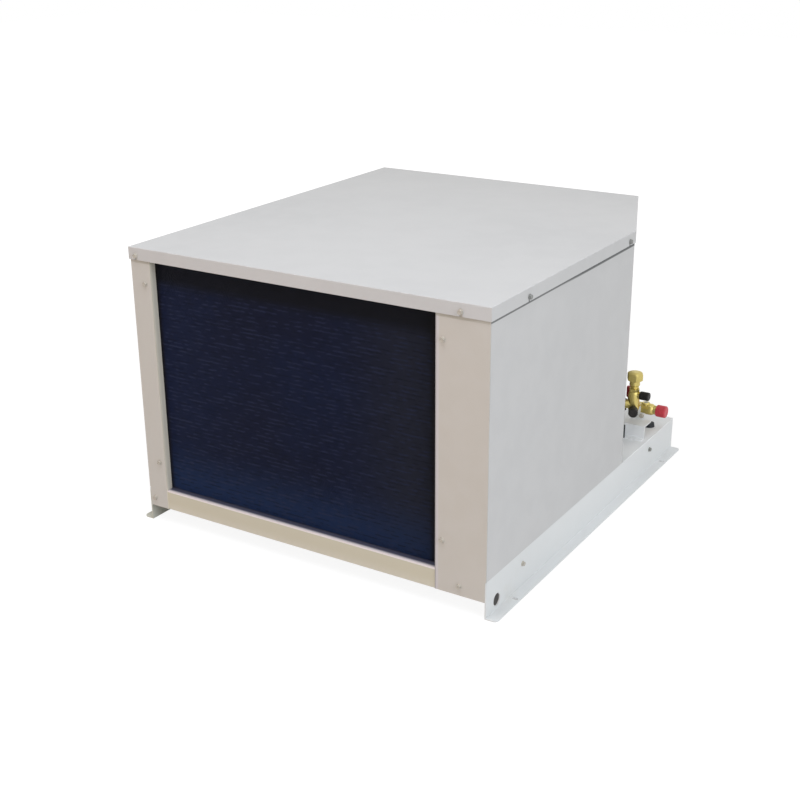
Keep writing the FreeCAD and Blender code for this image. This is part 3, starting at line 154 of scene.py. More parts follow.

# The posts' coat has yellowed a little in the weather. The left post is greyer, and warm in its return with painted
# light paler towards the return's front edge; the right post has a painted highlight strip and a painted shade line
# at the coil's edge. Both have a painted shade line under the lid's lip.
foldInside = {"kind": "box", "soft": 0.0004, "centre": (-0.311, -0.401, 0.275), "half": (0.0006, 0.0078, 0.25)}
frontCoat = makeFinish("frontCoat", {
    "colour": (0.60, 0.573, 0.53), "rough": 0.50,
    "layers": [
        {"scale": 2.5, "low": 0.3, "high": 0.7, "tint": (0.585, 0.553, 0.505), "amount": 0.7, "rough": 0.03},
        {"scale": 22.0, "detail": 4.0, "tint": (0.62, 0.595, 0.56), "amount": 0.35},
        orangePeel,
        {"scale": 1500.0, "low": 0.62, "high": 0.72, "tint": (0.50, 0.47, 0.42), "amount": 0.25},
        {"kind": "alongX", "low": -0.25, "high": -0.31, "tint": (0.605, 0.592, 0.560), "amount": 0.8},
        # painted highlight on the right post's inner fold, then painted shade at the coil's edge
        {"kind": "box", "soft": 0.0020, "centre": (0.2605, -0.408, 0.28), "half": (0.0055, 0.004, 0.26),
         "tint": (0.63, 0.598, 0.615), "amount": 0.9},
        {"kind": "box", "soft": 0.0008, "centre": (0.2590, -0.408, 0.28), "half": (0.0020, 0.004, 0.26),
         "tint": (0.33, 0.315, 0.32), "amount": 0.8},
        # painted shade under the lid's lip, patchy
        {"kind": "box", "soft": 0.0012, "centre": (0.0, -0.408, 0.4970), "half": (0.353, 0.004, 0.0033),
         "tint": (0.40, 0.385, 0.32), "amount": 0.6, "only": {"scale": 12.0, "low": 0.2, "high": 0.6}},
        # the left post's return: warm, with painted light paler towards its front edge
        {**foldInside, "tint": (0.60, 0.565, 0.49)},
        {"kind": "alongY", "low": -0.399, "high": -0.408, "tint": (0.76, 0.71, 0.60), "only": foldInside}],
    "shader": {"Specular IOR Level": 0.25}})

# The base's coat is whiter and a little cooler, over galvanised steel, darker and yellower at the left rail's front
# end and paler towards the rails' rear
baseLayers = [
    {"scale": 3.0, "low": 0.3, "high": 0.7, "tint": (0.70, 0.72, 0.725), "amount": 0.6, "rough": 0.03},
    {"kind": "cells", "scale": 70.0, "low": 0.0, "high": 1.0, "curve": "LINEAR", "tint": (0.77, 0.79, 0.795),
     "amount": 0.25},
    orangePeel,
    {"scale": 11.0, "detail": 6.0, "grit": 0.7, "low": 0.52, "high": 0.75, "tint": (0.66, 0.64, 0.58),
     "amount": 0.3, "rough": 0.08},
    {"kind": "box", "soft": 0.012, "centre": (-0.352, -0.400, 0.020), "half": (0.040, 0.045, 0.045),
     "tint": (0.53, 0.525, 0.44), "amount": 0.85}]
baseCoat = makeFinish("baseCoat", {
    "colour": (0.755, 0.775, 0.78), "rough": 0.46,
    "layers": baseLayers + [
        {"kind": "alongY", "low": -0.33, "high": -0.05, "tint": (0.87, 0.89, 0.90), "amount": 0.35}],
    "shader": {"Specular IOR Level": 0.3}})

# The deck's coat is yellowed on the apron; painted light makes it brightest on the open corner, and the ledge below
# the coil has a painted highlight outside and painted shade with a blue painted reflection inside
ledge = {"kind": "box", "soft": 0.0012, "centre": (-0.026, -0.3910, 0.0662), "half": (0.290, 0.0170, 0.0025)}
apron = {"kind": "box", "soft": 0.0010, "centre": (0.0, -0.4085, 0.047), "half": (0.345, 0.0042, 0.0172)}
deckCoat = makeFinish("deckCoat", {
    "colour": (0.755, 0.775, 0.78), "rough": 0.46,
    "layers": baseLayers + [
        {**apron, "tint": (0.625, 0.588, 0.470)},
        {"kind": "alongZ", "low": 0.048, "high": 0.030, "tint": (0.680, 0.645, 0.545), "amount": 0.8,
         "only": apron},
        # the ledge: painted highlight outside, painted shade with a blue painted reflection towards the coil
        {**ledge, "tint": (0.88, 0.80, 0.80)},
        {"kind": "alongY", "low": -0.4060, "high": -0.3975, "tint": (0.040, 0.044, 0.080), "amount": 0.97,
         "only": ledge},
        # painted light on the open corner
        {"kind": "alongY", "low": 0.12, "high": 0.20, "tint": (0.89, 0.905, 0.91), "amount": 0.95,
         "only": {"kind": "alongX", "low": 0.15, "high": 0.22}}],
    "shader": {"Specular IOR Level": 0.3}})

# Zinc plate on small steel pieces: soft yellow-white cast, fine pitting and handling marks
zincPlate = makeFinish("zincPlate", {
    "colour": (0.50, 0.50, 0.47), "rough": 0.34,
    "layers": [
        {"scale": 260.0, "detail": 3.0, "tint": (0.36, 0.35, 0.32), "amount": 0.6, "rough": 0.15},
        {"scale": 1400.0, "low": 0.5, "high": 0.7, "raise": 0.02, "tint": (0.60, 0.60, 0.58), "amount": 0.5}],
    "shader": {"Metallic": 1.0}})

# Screw heads coated with the cabinet: worn to the zinc in places, with painted shade darkening them all over under
# the lid's right edge, and darker at the right rail's rear
coatedScrew = makeFinish("coatedScrew", {
    "colour": (0.52, 0.49, 0.43), "rough": 0.44,
    "layers": [
        {"scale": 420.0, "detail": 2.0, "low": 0.5, "high": 0.68, "tint": (0.30, 0.28, 0.23), "amount": 0.7,
         "rough": 0.1},
        # painted shade on the side screws under the lid's right edge
        {"kind": "alongX", "low": 0.3515, "high": 0.3530, "tint": (0.22, 0.23, 0.225), "amount": 0.85,
         "only": {"kind": "alongZ", "low": 0.2, "high": 0.4}},
        {"kind": "alongX", "low": 0.3515, "high": 0.3530, "tint": (0.20, 0.21, 0.20), "amount": 0.85,
         "only": {"kind": "alongY", "low": 0.20, "high": 0.25}},
        {"scale": 900.0, "low": 0.3, "high": 0.7, "raise": 0.02, "rough": 0.08}],
    "shader": {"Specular IOR Level": 0.35}})

# Galvanised sheet: crystals of zinc of different greys, faint rolling lines
galvanised = makeFinish("galvanised", {
    "colour": (0.52, 0.54, 0.55), "rough": 0.36,
    "layers": [
        {"kind": "cells", "scale": 95.0, "low": 0.0, "high": 1.0, "curve": "LINEAR", "tint": (0.68, 0.70, 0.71),
         "amount": 0.7, "rough": 0.14},
        {"scale": 30.0, "detail": 4.0, "tint": (0.44, 0.45, 0.46), "amount": 0.5},
        {"scale": 900.0, "stretch": (1, 0.05, 1), "raise": 0.004, "rough": 0.05}],
    "shader": {"Metallic": 0.9}})

# Forged and machined brass: warm yellow, darker in the pores, turned rings, dull patches
forgedBrass = makeFinish("forgedBrass", {
    "colour": (0.60, 0.485, 0.150), "rough": 0.34,
    "layers": [
        {"scale": 90.0, "detail": 4.0, "grit": 0.65, "low": 0.4, "high": 0.7, "tint": (0.46, 0.37, 0.11),
         "amount": 0.6, "rough": 0.14},
        {"scale": 420.0, "detail": 2.0, "raise": 0.03, "rough": 0.06},
        {"kind": "waves", "scale": 320.0, "bend": 1.5, "raise": 0.006, "tint": (0.74, 0.66, 0.32), "amount": 0.35}],
    "shader": {"Metallic": 1.0}})

# Drawn copper: reddish, with brown stains and long draw lines
drawnCopper = makeFinish("drawnCopper", {
    "colour": (0.70, 0.34, 0.21), "rough": 0.30,
    "layers": [
        {"scale": 16.0, "detail": 5.0, "low": 0.45, "high": 0.75, "tint": (0.38, 0.17, 0.11), "amount": 0.7,
         "rough": 0.2},
        {"scale": 260.0, "tint": (0.80, 0.45, 0.30), "amount": 0.35},
        {"scale": 700.0, "detail": 1.0, "raise": 0.008}],
    "shader": {"Metallic": 1.0}})

# Rolled aluminium of the fan: fine rolling lines, light dulling
milledAluminium = makeFinish("milledAluminium", {
    "colour": (0.66, 0.67, 0.68), "rough": 0.32,
    "layers": [
        {"scale": 600.0, "stretch": (1, 1, 0.04), "raise": 0.006, "rough": 0.10},
        {"scale": 26.0, "detail": 4.0, "tint": (0.55, 0.56, 0.57), "amount": 0.6, "rough": 0.08}],
    "shader": {"Metallic": 1.0}})

# Dark grey enamel of the motor
motorEnamel = makeFinish("motorEnamel", {
    "colour": (0.052, 0.055, 0.06), "rough": 0.42,
    "layers": [
        {"scale": 380.0, "raise": 0.015, "rough": 0.06},
        {"scale": 14.0, "detail": 5.0, "low": 0.45, "high": 0.8, "tint": (0.10, 0.10, 0.095), "amount": 0.7,
         "rough": 0.15}]})

# Black enamel of the pressure vessels: deep gloss, orange peel, settled dust
blackEnamel = makeFinish("blackEnamel", {
    "colour": (0.012, 0.012, 0.013), "rough": 0.26,
    "layers": [
        {"scale": 240.0, "raise": 0.02, "rough": 0.05},
        {"scale": 8.0, "detail": 6.0, "grit": 0.6, "low": 0.45, "high": 0.8, "tint": (0.05, 0.048, 0.045),
         "amount": 0.7, "rough": 0.25}],
    "shader": {"Coat Weight": 0.2, "Coat Roughness": 0.15}})

# Moulded rubber: matt, faintly grainy, lighter bloom
mouldedRubber = makeFinish("mouldedRubber", {
    "colour": (0.022, 0.026, 0.03), "rough": 0.66,
    "layers": [
        {"scale": 900.0, "raise": 0.02, "rough": 0.08},
        {"scale": 120.0, "detail": 4.0, "tint": (0.05, 0.055, 0.06), "amount": 0.6}],
    "shader": {"Specular IOR Level": 0.35}})

# Silicone strip of the heater
siliconeStrip = makeFinish("siliconeStrip", {
    "colour": (0.36, 0.055, 0.03), "rough": 0.55,
    "layers": [
        {"kind": "waves", "scale": 160.0, "raise": 0.08, "tint": (0.24, 0.035, 0.02), "amount": 0.6},
        {"scale": 300.0, "raise": 0.02, "rough": 0.1}]})

# Black moulded plastic: satin, spark-eroded texture
blackPlastic = makeFinish("blackPlastic", {
    "colour": (0.011, 0.0095, 0.0085), "rough": 0.42,
    "layers": [
        {"scale": 1100.0, "raise": 0.012, "rough": 0.08},
        {"scale": 70.0, "detail": 4.0, "tint": (0.021, 0.019, 0.017), "amount": 0.7, "rough": 0.06}],
    "shader": {"Specular IOR Level": 0.3}})

# Red moulded plastic of the marker caps
redPlastic = makeFinish("redPlastic", {
    "colour": (0.62, 0.055, 0.075), "rough": 0.36,
    "layers": [
        {"scale": 900.0, "raise": 0.010, "rough": 0.06},
        {"scale": 110.0, "detail": 4.0, "tint": (0.47, 0.038, 0.052), "amount": 0.6, "rough": 0.08}],
    "shader": {"Subsurface Weight": 0.05, "Subsurface Radius": (0.004, 0.001, 0.001)}})

# Blue enamel of the filter drier
blueEnamel = makeFinish("blueEnamel", {
    "colour": (0.03, 0.085, 0.24), "rough": 0.34,
    "layers": [
        {"scale": 300.0, "raise": 0.015, "rough": 0.06},
        {"scale": 26.0, "detail": 5.0, "low": 0.5, "high": 0.8, "tint": (0.08, 0.13, 0.26), "amount": 0.5,
         "rough": 0.12}]})

# Clear glass of the moisture indicator
clearGlass = makeFinish("clearGlass", {
    "colour": (0.86, 0.93, 0.90), "rough": 0.04,
    "layers": [{"scale": 60.0, "detail": 4.0, "low": 0.55, "high": 0.8, "rough": 0.12, "raise": 0.004}],
    "shader": {"Transmission Weight": 0.9, "IOR": 1.5}})

# Drawn can of the capacitor: lines along the can
drawnCan = makeFinish("drawnCan", {
    "colour": (0.62, 0.63, 0.64), "rough": 0.28,
    "layers": [
        {"scale": 800.0, "stretch": (1, 1, 0.03), "raise": 0.006, "rough": 0.12},
        {"scale": 40.0, "detail": 4.0, "tint": (0.5, 0.5, 0.5), "amount": 0.6, "rough": 0.1}],
    "shader": {"Metallic": 1.0}})

# Grey enamel of the pressure control
greyEnamel = makeFinish("greyEnamel", {
    "colour": (0.30, 0.31, 0.31), "rough": 0.42,
    "layers": [
        {"scale": 420.0, "raise": 0.012, "rough": 0.06},
        {"scale": 18.0, "detail": 5.0, "tint": (0.24, 0.245, 0.24), "amount": 0.6, "rough": 0.1}]})

# Dark blue fin coating: painted highlights, short bright and dark dashes where the fins' ripple catches the light, a
# painted reflection that makes it bluer low down, greyer to the right, and painted shade, browner, at the opening's
# top and side edges
finDash = {"kind": "waves", "scale": 43.0, "bend": 1.1, "bendScale": 3.0}
finCoating = makeFinish("finCoating", {
    "colour": (0.0185, 0.0225, 0.060), "rough": 0.40,
    "layers": [
        {"scale": 5.0, "low": 0.35, "high": 0.65, "tint": (0.0180, 0.0270, 0.080), "amount": 0.8},
        {"kind": "alongX", "low": 0.05, "high": 0.22, "tint": (0.042, 0.046, 0.074), "amount": 0.85},
        # painted reflection: bluer low down
        {"kind": "alongZ", "low": 0.18, "high": 0.070, "tint": (0.028, 0.064, 0.180), "amount": 0.75},
        {**finDash, "low": 0.50, "high": 0.90, "tint": (0.055, 0.068, 0.140), "amount": 0.8, "rough": 0.1,
         "only": {"scale": 62.0, "stretch": (1, 1, 2.6), "detail": 1.5, "low": 0.45, "high": 0.62}},
        {**finDash, "low": 0.35, "high": 0.05, "tint": (0.009, 0.012, 0.030), "amount": 0.6,
         "only": {"scale": 70.0, "stretch": (1, 1, 2.6), "detail": 1.5, "low": 0.45, "high": 0.62}},
        # painted shade at the opening's top, right and left edges
        {"kind": "alongZ", "low": 0.445, "high": 0.470, "tint": (0.0160, 0.0165, 0.024), "amount": 0.9},
        {"kind": "alongX", "low": 0.236, "high": 0.250, "tint": (0.026, 0.019, 0.020), "amount": 0.85},
        {"kind": "alongX", "low": -0.302, "high": -0.311, "tint": (0.022, 0.017, 0.016), "amount": 0.8}],
    "shader": {"Specular IOR Level": 0.5}})

for finish, names in (
        (powderCoat, "front_top_rail left_side_panel angled_valve_panel rear_louver_panel lid"),
        (sideCoat, "right_side_panel"),
        (frontCoat, "left_front_post right_front_post"),
        (baseCoat, "left_foot_rail right_foot_rail"),
        (deckCoat, "deck_pan valve_bracket"),
        (zincPlate, "compressor_bolts suction_valve_stem liquid_valve_stem motor_shaft"),
        (galvanised, "coil_end_plates fan_shroud motor_stand motor_band control_box control_box_cover"),
        (drawnCopper, "coil_return_bends discharge_line condensate_line liquid_line suction_line"),
        (milledAluminium, "fan_blades fan_hub"),
        (motorEnamel, "fan_motor"),
        (blackEnamel, "compressor_shell receiver_tank"),
        (mouldedRubber, "compressor_grommets rubber_grommets"),
        (siliconeStrip, "crankcase_heater"),
        (blackPlastic, "terminal_cover contactor terminal_block"),
        (redPlastic, "reset_button"),
        (forgedBrass, "sight_glass_body"),
        (blueEnamel, "filter_drier"),
        (clearGlass, "sight_glass_window"),
        (drawnCan, "run_capacitor"),
        (greyEnamel, "pressure_control")):
    for name in names.split():
        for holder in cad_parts[name].material_slots:
            holder.material = finish
print("finishes are on the carried-over nodes")


# Surfaces. A piece is a list of shells, each a pair: points, and groups of faces.
# A closed grid: rows of points round a loop, joined to the next row, and each end row closed to its middle point.
def closedGrid(points):
    rows, columns = points.shape[:2]
    index = np.arange(rows * columns).reshape(rows, columns)
    following = np.roll(index, -1, axis=1)
    quads = np.stack([index[:-1], following[:-1], following[1:], index[1:]], axis=-1).reshape(-1, 4)
    first, last = rows * columns, rows * columns + 1
    starts = np.stack([np.full(columns, first), following[0], index[0]], axis=-1)
    ends = np.stack([np.full(columns, last), index[-1], following[-1]], axis=-1)
    places = np.concatenate([points.reshape(-1, 3), points[:1].mean(axis=1), points[-1:].mean(axis=1)])
    return places, [quads, starts, ends]


# Two directions at right angles to an axis and to each other, by cross products.
def sideways(axis):
    side = np.cross(axis, up if abs(axis[2]) < 0.9 else right)
    side = side / np.linalg.norm(side)
    return side, np.cross(axis, side)


# A turned shape in millimetres along an axis. A row is (radius, height, flats, rib): the point at a turn t is
# foot + height * axis + r(t) * (cos t * side + sin t * other), where r is the radius, cut down to a hexagon across
# the flats where flats is above 0, and raised by rib on every other half turn of the ribbing.
def turned(rows, foot, axis, around=48, ribs=24):
    table = np.array([list(row) + [0.0] * (4 - len(row)) for row in rows], float)
    turns = np.arange(around) * 2 * math.pi / around
    side, other = sideways(axis)
    hexagon = 0.5 / np.cos((turns + math.pi / 6) % (math.pi / 3) - math.pi / 6)
    flats = np.where(table[:, 2:3] > 0, table[:, 2:3], np.inf)
    radius = np.minimum(table[:, :1], flats * hexagon) + table[:, 3:4] * np.clip(2 * np.cos(ribs * turns), -1, 1)
    ring = np.cos(turns)[:, None] * side + np.sin(turns)[:, None] * other
    points = np.array(foot) + table[:, 1, None, None] * mm * axis + radius[:, :, None] * mm * ring
    return closedGrid(points)


# A loop carried along a path that stays in one plane: at each step the loop's first axis is the plane's normal and
# its second is the normal crossed with the direction of travel.
def carried(path, normal, loop):
    path = np.array(path, float)
    travel = np.gradient(path, axis=0)
    travel = travel / np.linalg.norm(travel, axis=1, keepdims=True)
    second = np.cross(travel, normal)
    points = path[:, None, :] + loop[None, :, :1] * np.array(normal) + loop[None, :, 1:] * second[:, None, :]
    return closedGrid(points)


# A rounded rectangle: half width * |cos|^(2/n) and half height * |sin|^(2/n), each with its sign. With n of 2 it is
# an ellipse.
def roundedLoop(halfWidth, halfHeight, power=2.0, count=32):
    turns = np.arange(count) * 2 * math.pi / count
    wide = np.sign(np.cos(turns)) * np.abs(np.cos(turns)) ** (2 / power)
    high = np.sign(np.sin(turns)) * np.abs(np.sin(turns)) ** (2 / power)
    return np.stack([wide * halfWidth, high * halfHeight], axis=1)


def addPiece(name, shells, finish, body, replaced, sharp=28.0):
    counts = np.cumsum([0] + [len(shell[0]) for shell in shells])
    points = np.concatenate([shell[0] for shell in shells])
    faces = []
    for (_, groups), start in zip(shells, counts):
        for group in groups:
            faces += [tuple(face) for face in (group + start).tolist()]
    mesh = bpy.data.meshes.new(name)
    mesh.from_pydata(points.tolist(), [], faces)
    mesh.shade_smooth()
    mesh.set_sharp_from_angle(angle=math.radians(sharp))
    mesh.update()
    piece = bpy.data.objects.new(name, mesh)
    bpy.context.scene.collection.objects.link(piece)
    mesh.materials.append(finish)
    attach(piece, body)
    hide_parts(*replaced)


# Condenser coil: thin fins side by side, in millimetres. A fin is a strip in depth with a shallow ripple, carried up
# in a few steps, and it leans a little by a smooth chance of its own.
coil = {"left": -314.6, "right": 262.6, "front": -391.8, "back": -337.2, "low": 68.2, "high": 499.8,
        "pitch": 1.30, "half": 0.06, "ripple": 0.20, "lean": 0.04, "smooth": 41,
        "depths": (0.0, 0.03, 0.35, 0.68, 1.0), "bends": (0.0, 1.0, -1.0, 1.0, 0.0), "steps": (0, 140, 290)}


# A point of a fin is its middle, plus the lean at its height, plus the ripple at its depth, plus or minus half the
# sheet. The lean is a random walk less its own running mean, brought between -1 and 1 by tanh, times the limit.
def finShell():
    width, depth = coil["right"] - coil["left"], coil["back"] - coil["front"]
    count = int(width / coil["pitch"])
    middle = coil["left"] + width * (np.arange(count) + 0.5) / count
    depths = np.array(coil["depths"]) * depth + coil["front"]
    ripple = np.array(coil["bends"]) * coil["ripple"]
    levels = np.array([coil["low"] + step for step in coil["steps"]] + [coil["high"]])
    chance = np.random.default_rng(7)
    walk = np.cumsum(chance.normal(0, 1, (count, len(levels))), axis=0)
    running = np.convolve(walk.mean(axis=1), np.ones(coil["smooth"]) / coil["smooth"], "same")
    lean = coil["lean"] * np.tanh(walk - running[:, None])
    sheet = np.concatenate([ripple - coil["half"], ripple[::-1] + coil["half"]])
    tall, around = len(levels), len(sheet)
    points = np.zeros((count, tall, around, 3))
    points[..., 0] = middle[:, None, None] + lean[:, :, None] + sheet[None, None, :]
    points[..., 1] = np.concatenate([depths, depths[::-1]])[None, None, :]
    points[..., 2] = levels[None, :, None]
    corner = np.arange(tall * around).reshape(tall, around)
    following = np.roll(corner, -1, axis=1)
    walls = np.stack([corner[:-1], following[:-1], following[1:], corner[1:]], axis=-1).reshape(-1, 4)
    near = np.arange(around // 2 - 1)
    ends = np.stack([near, around - 1 - near, around - 2 - near, near + 1], axis=-1)
    faces = np.concatenate([walls[:, ::-1], ends[:, ::-1], ends + around * (tall - 1)])
    allFaces = (faces[None] + tall * around * np.arange(count)[:, None, None]).reshape(-1, 4)
    return points.reshape(-1, 3) * mm, [allFaces]


addPiece("coilFins", [finShell()], finCoating, "cabinet", ["coil_fin_pack"], sharp=20.0)
print("the coil's fins are made")


# Threads are rows of a turned shape: crest and root by turns, from one height to another.
def threadRows(crest, root, low, high, pitch):
    count = int((high - low) / pitch)
    heights = low + pitch * np.arange(2 * count + 1) / 2
    return [(crest if step % 2 else root, height) for step, height in enumerate(heights)]


# A bar with a hexagon section and both ends chamfered: the round part of each row cuts the corners off, and a
# corner lies at the flats over the root of 3.
def hexRows(flats, low, high, chamfer):
    corner = flats / math.sqrt(3)
    slope = 0.6 * chamfer
    return [(corner - chamfer, low, flats), (corner, low + slope, flats), (corner, high - slope, flats),
            (corner - chamfer, high, flats)]


# A fitting in rows of (radius, height): a shank, a hexagon nut as (flats, low, high, chamfer), a neck, a thread as
# (crest, root, low, high, pitch), and a mouth that runs on down into the bore.
def fittingRows(part):
    return part["shank"] + hexRows(*part["nut"]) + part["neck"] + threadRows(*part["thread"]) + part["mouth"]


# Suction service valve, in millimetres, with its foot in metres: an upright body, two flare ports, the line's
# outlet, an arm that bends up to the access port, and the lug that holds it to the bracket
suctionValve = {
    "foot": (0.3145, 0.279, 0.0),
    "upright": {
        "shank": [(6.4, 118.0), (8.2, 118.15), (9.3, 118.8), (9.5, 119.8), (9.6, 121.6), (10.4, 122.4), (11.3, 124.6),
                  (11.5, 127.5), (11.45, 143.0), (11.5, 150.0), (11.2, 155.5), (10.3, 158.6), (8.9, 160.6),
                  (8.6, 161.0)],
        "nut": (18.6, 161.0, 167.0, 0.9), "neck": [(7.8, 167.1)], "thread": (8.5, 7.95, 168.2, 183.6, 1.5),
        "mouth": [(7.6, 184.4), (7.2, 185.0), (4.55, 185.0), (4.05, 184.5), (4.05, 147.5), (3.65, 147.0)]},
    "gaugeHeight": 154.0, "frontHeight": 125.0,
    "port": {
        "shank": [(5.7, 2.0), (5.7, 8.1)], "nut": (12.6, 8.2, 12.2, 0.6), "neck": [(4.3, 12.3), (4.3, 13.2)],
        "thread": (5.0, 4.58, 13.4, 28.2, 1.27), "mouth": [(4.2, 29.0), (2.6, 29.0), (1.6, 26.8), (1.2, 23.0)]},
    "outletHeight": 133.0,
    "outlet": [(7.0, 2.0), (9.2, 2.2), (9.2, 17.2), (8.5, 17.4), (8.5, 18.2), (9.2, 18.4), (9.2, 19.4), (8.6, 20.0),
               (7.95, 20.0), (7.95, 19.0)],
    "armHeight": 136.0, "armBack": 20.0, "armIn": 9.0, "armRadius": 3.5, "armBend": 4.5,
    "armRun": (2.0, 8.0, 14.0), "armRise": (7.0, 10.0, 13.8),
    "armPort": {
        "shank": [], "nut": (8.6, 9.0, 12.6, 0.4), "neck": [(2.9, 12.8), (2.9, 13.4)],
        "thread": (3.5, 3.15, 13.6, 23.2, 0.9), "mouth": [(2.8, 24.0), (1.8, 24.0), (1.4, 22.0)]},
    "lugHeight": 124.0, "lugHalf": (5.6, 2.95), "lugSquareness": 7.0, "lugSteps": (2.0, 20.0, 24.2, 24.9, 25.2)}
suctionFoot = np.array(suctionValve["foot"])
armCorner = (suctionFoot + cornerAlong * suctionValve["armBack"] * mm - cornerOut * suctionValve["armIn"] * mm
             + up * suctionValve["armHeight"] * mm)


# The arm's path: straight out from the body, a quarter of a circle, corner - bend * reach + bend * up plus
# bend * (sin * reach - cos * up), and straight up.
def armShell(valve):
    start = suctionFoot + up * valve["armHeight"] * mm
    reach = (armCorner - start) / np.linalg.norm(armCorner - start)
    turn = np.linspace(0, math.pi / 2, 9)[:, None]
    bend = valve["armBend"] * mm
    path = np.concatenate([
        start + reach * np.array(valve["armRun"])[:, None] * mm,
        armCorner - reach * bend + up * bend + (reach * np.sin(turn) - up * np.cos(turn)) * bend,
        armCorner + up * np.array(valve["armRise"])[:, None] * mm])
    radius = valve["armRadius"] * mm
    return carried(path, np.cross(up, reach), roundedLoop(radius, radius))


# The valve's body stands at the foot, each port and the outlet is turned about its own direction at its height, and
# the lug is a rounded rectangle carried straight back.
def suctionValveShells(valve):
    port = fittingRows(valve["port"])
    lugWidth, lugThickness = valve["lugHalf"]
    lugPath = suctionFoot + up * valve["lugHeight"] * mm + back * np.array(valve["lugSteps"])[:, None] * mm
    return [
        turned(fittingRows(valve["upright"]), suctionFoot, up, around=96),
        turned(port, suctionFoot + up * valve["gaugeHeight"] * mm, right),
        turned(port, suctionFoot + up * valve["frontHeight"] * mm, -cornerAlong),
        turned(valve["outlet"], suctionFoot + up * valve["outletHeight"] * mm, -cornerOut, around=64),
        armShell(valve),
        turned(fittingRows(valve["armPort"]), armCorner, up),
        carried(lugPath, right, roundedLoop(lugWidth * mm, lugThickness * mm, valve["lugSquareness"], 40))]


addPiece("suctionValveForging", suctionValveShells(suctionValve), forgedBrass, "cabinet",
         ["suction_valve_body"])

# Liquid service valve, the same way: a lying barrel with its thread to the right, and the stem's boss on top
liquidValve = {
    "foot": (0.303, 0.318, 0.113),
    "barrel": {
        "shank": [(4.9, 0.6), (4.9, 0.0), (6.5, 0.0), (7.0, 0.5), (7.0, 2.6), (7.6, 3.4), (10.4, 7.6), (11.2, 9.0),
                  (11.5, 10.5), (11.5, 15.0), (11.3, 23.0), (11.5, 31.0), (11.5, 36.0), (11.0, 37.6), (9.4, 40.4)],
        "nut": (17.0, 41.0, 45.8, 0.8), "neck": [(6.2, 46.0), (6.2, 47.2)], "thread": (7.0, 6.5, 47.4, 63.0, 1.5),
        "mouth": [(6.0, 64.0), (3.6, 64.0), (2.4, 61.0), (2.2, 56.0)]},
    "stemAt": 23.0,
    "boss": [(6.6, 6.0), (7.9, 6.2), (8.0, 9.0), (8.0, 11.9), (7.4, 12.75), (6.9, 13.0), (4.5, 13.0), (4.05, 12.6),
             (4.05, 1.0), (3.6, 0.4)]}
liquidFoot = np.array(liquidValve["foot"])
liquidShells = [turned(fittingRows(liquidValve["barrel"]), liquidFoot, right, around=80),
                turned(liquidValve["boss"], liquidFoot + right * liquidValve["stemAt"] * mm, up, around=64)]
addPiece("liquidValveForging", liquidShells, forgedBrass, "cabinet", ["liquid_valve_body"])

# Brass seal cap, in rows of (radius, height): its bore from the top down, a skirt with a bead at its mouth, and a
# hexagon with a domed end
sealCap = {
    "bore": [(2.0, 195.3), (7.0, 195.3), (8.8, 194.0), (8.8, 174.4)],
    "skirt": [(9.3, 174.0), (10.1, 174.0), (10.5, 174.4), (10.5, 175.6), (10.15, 176.0), (10.15, 182.6),
              (10.5, 183.2), (11.4, 184.1)],
    "flats": 28.5, "chamfer": 2.2, "hexLow": 184.1, "hexChamfered": 185.5, "hexHigh": 195.4,
    "domeLow": 196.0, "domeRise": 5.95, "domePower": 0.72, "top": [(2.0, 201.97), (0.6, 202.0)]}


# The dome's radius is corner * cos^power and its height is low + rise * sin, as the angle goes through a quarter
# turn.
def sealCapRows(cap):
    flats = cap["flats"]
    corner = flats / math.sqrt(3)
    quarter = np.linspace(0, 1, 7)[1:-1] * math.pi / 2
    hexagon = [(corner - cap["chamfer"], cap["hexLow"], flats), (corner, cap["hexChamfered"], flats),
               (corner, cap["hexHigh"], flats)]
    dome = [(corner * math.cos(part) ** cap["domePower"] + 0.05, cap["domeLow"] + cap["domeRise"] * math.sin(part),
             flats) for part in quarter]
    return cap["bore"] + cap["skirt"] + hexagon + dome + cap["top"]


addPiece("sealCap", [turned(sealCapRows(sealCap), suctionFoot, up, around=96)], forgedBrass, "suction_seal_cap",
         ["suction_seal_cap"])


# Plastic port cap: fine ribs round the skirt, a smooth bead at the mouth, and an end rounded by a quarter of a
# circle that the ribs fade out on, with a shallow dish
def portCapShell(cap):
    radius, length, bore, rib, edge = cap["radius"], cap["length"], cap["bore"], cap["rib"], cap["edge"]
    bead, skirt = radius - 0.2, radius - rib
    floor, dish = length - 3.0, length - 0.45
    quarter = np.linspace(0, math.pi / 2, 6)
    inside = [(1.0, floor), (bore - 0.4, floor), (bore, floor - 0.4), (bore, 0.5), (bore + 0.5, 0.0)]
    outside = [(radius - 0.7, 0.0), (bead, 0.3), (bead, 1.6), (skirt, 2.0), (skirt, 2.6, 0, rib),
               (skirt, length - edge - 0.4, 0, rib)]
    outside += [(skirt - edge + edge * math.cos(part), length - edge + (edge - 0.15) * math.sin(part), 0,
                 rib * (1 - part / (math.pi / 2))) for part in quarter]
    end = [(0.62 * radius, length), (0.56 * radius, length), (0.50 * radius, dish), (0.8, dish)]
    return turned(inside + outside + end, np.array(cap["mouth"]), cap["axis"], around=cap["around"], ribs=cap["ribs"])


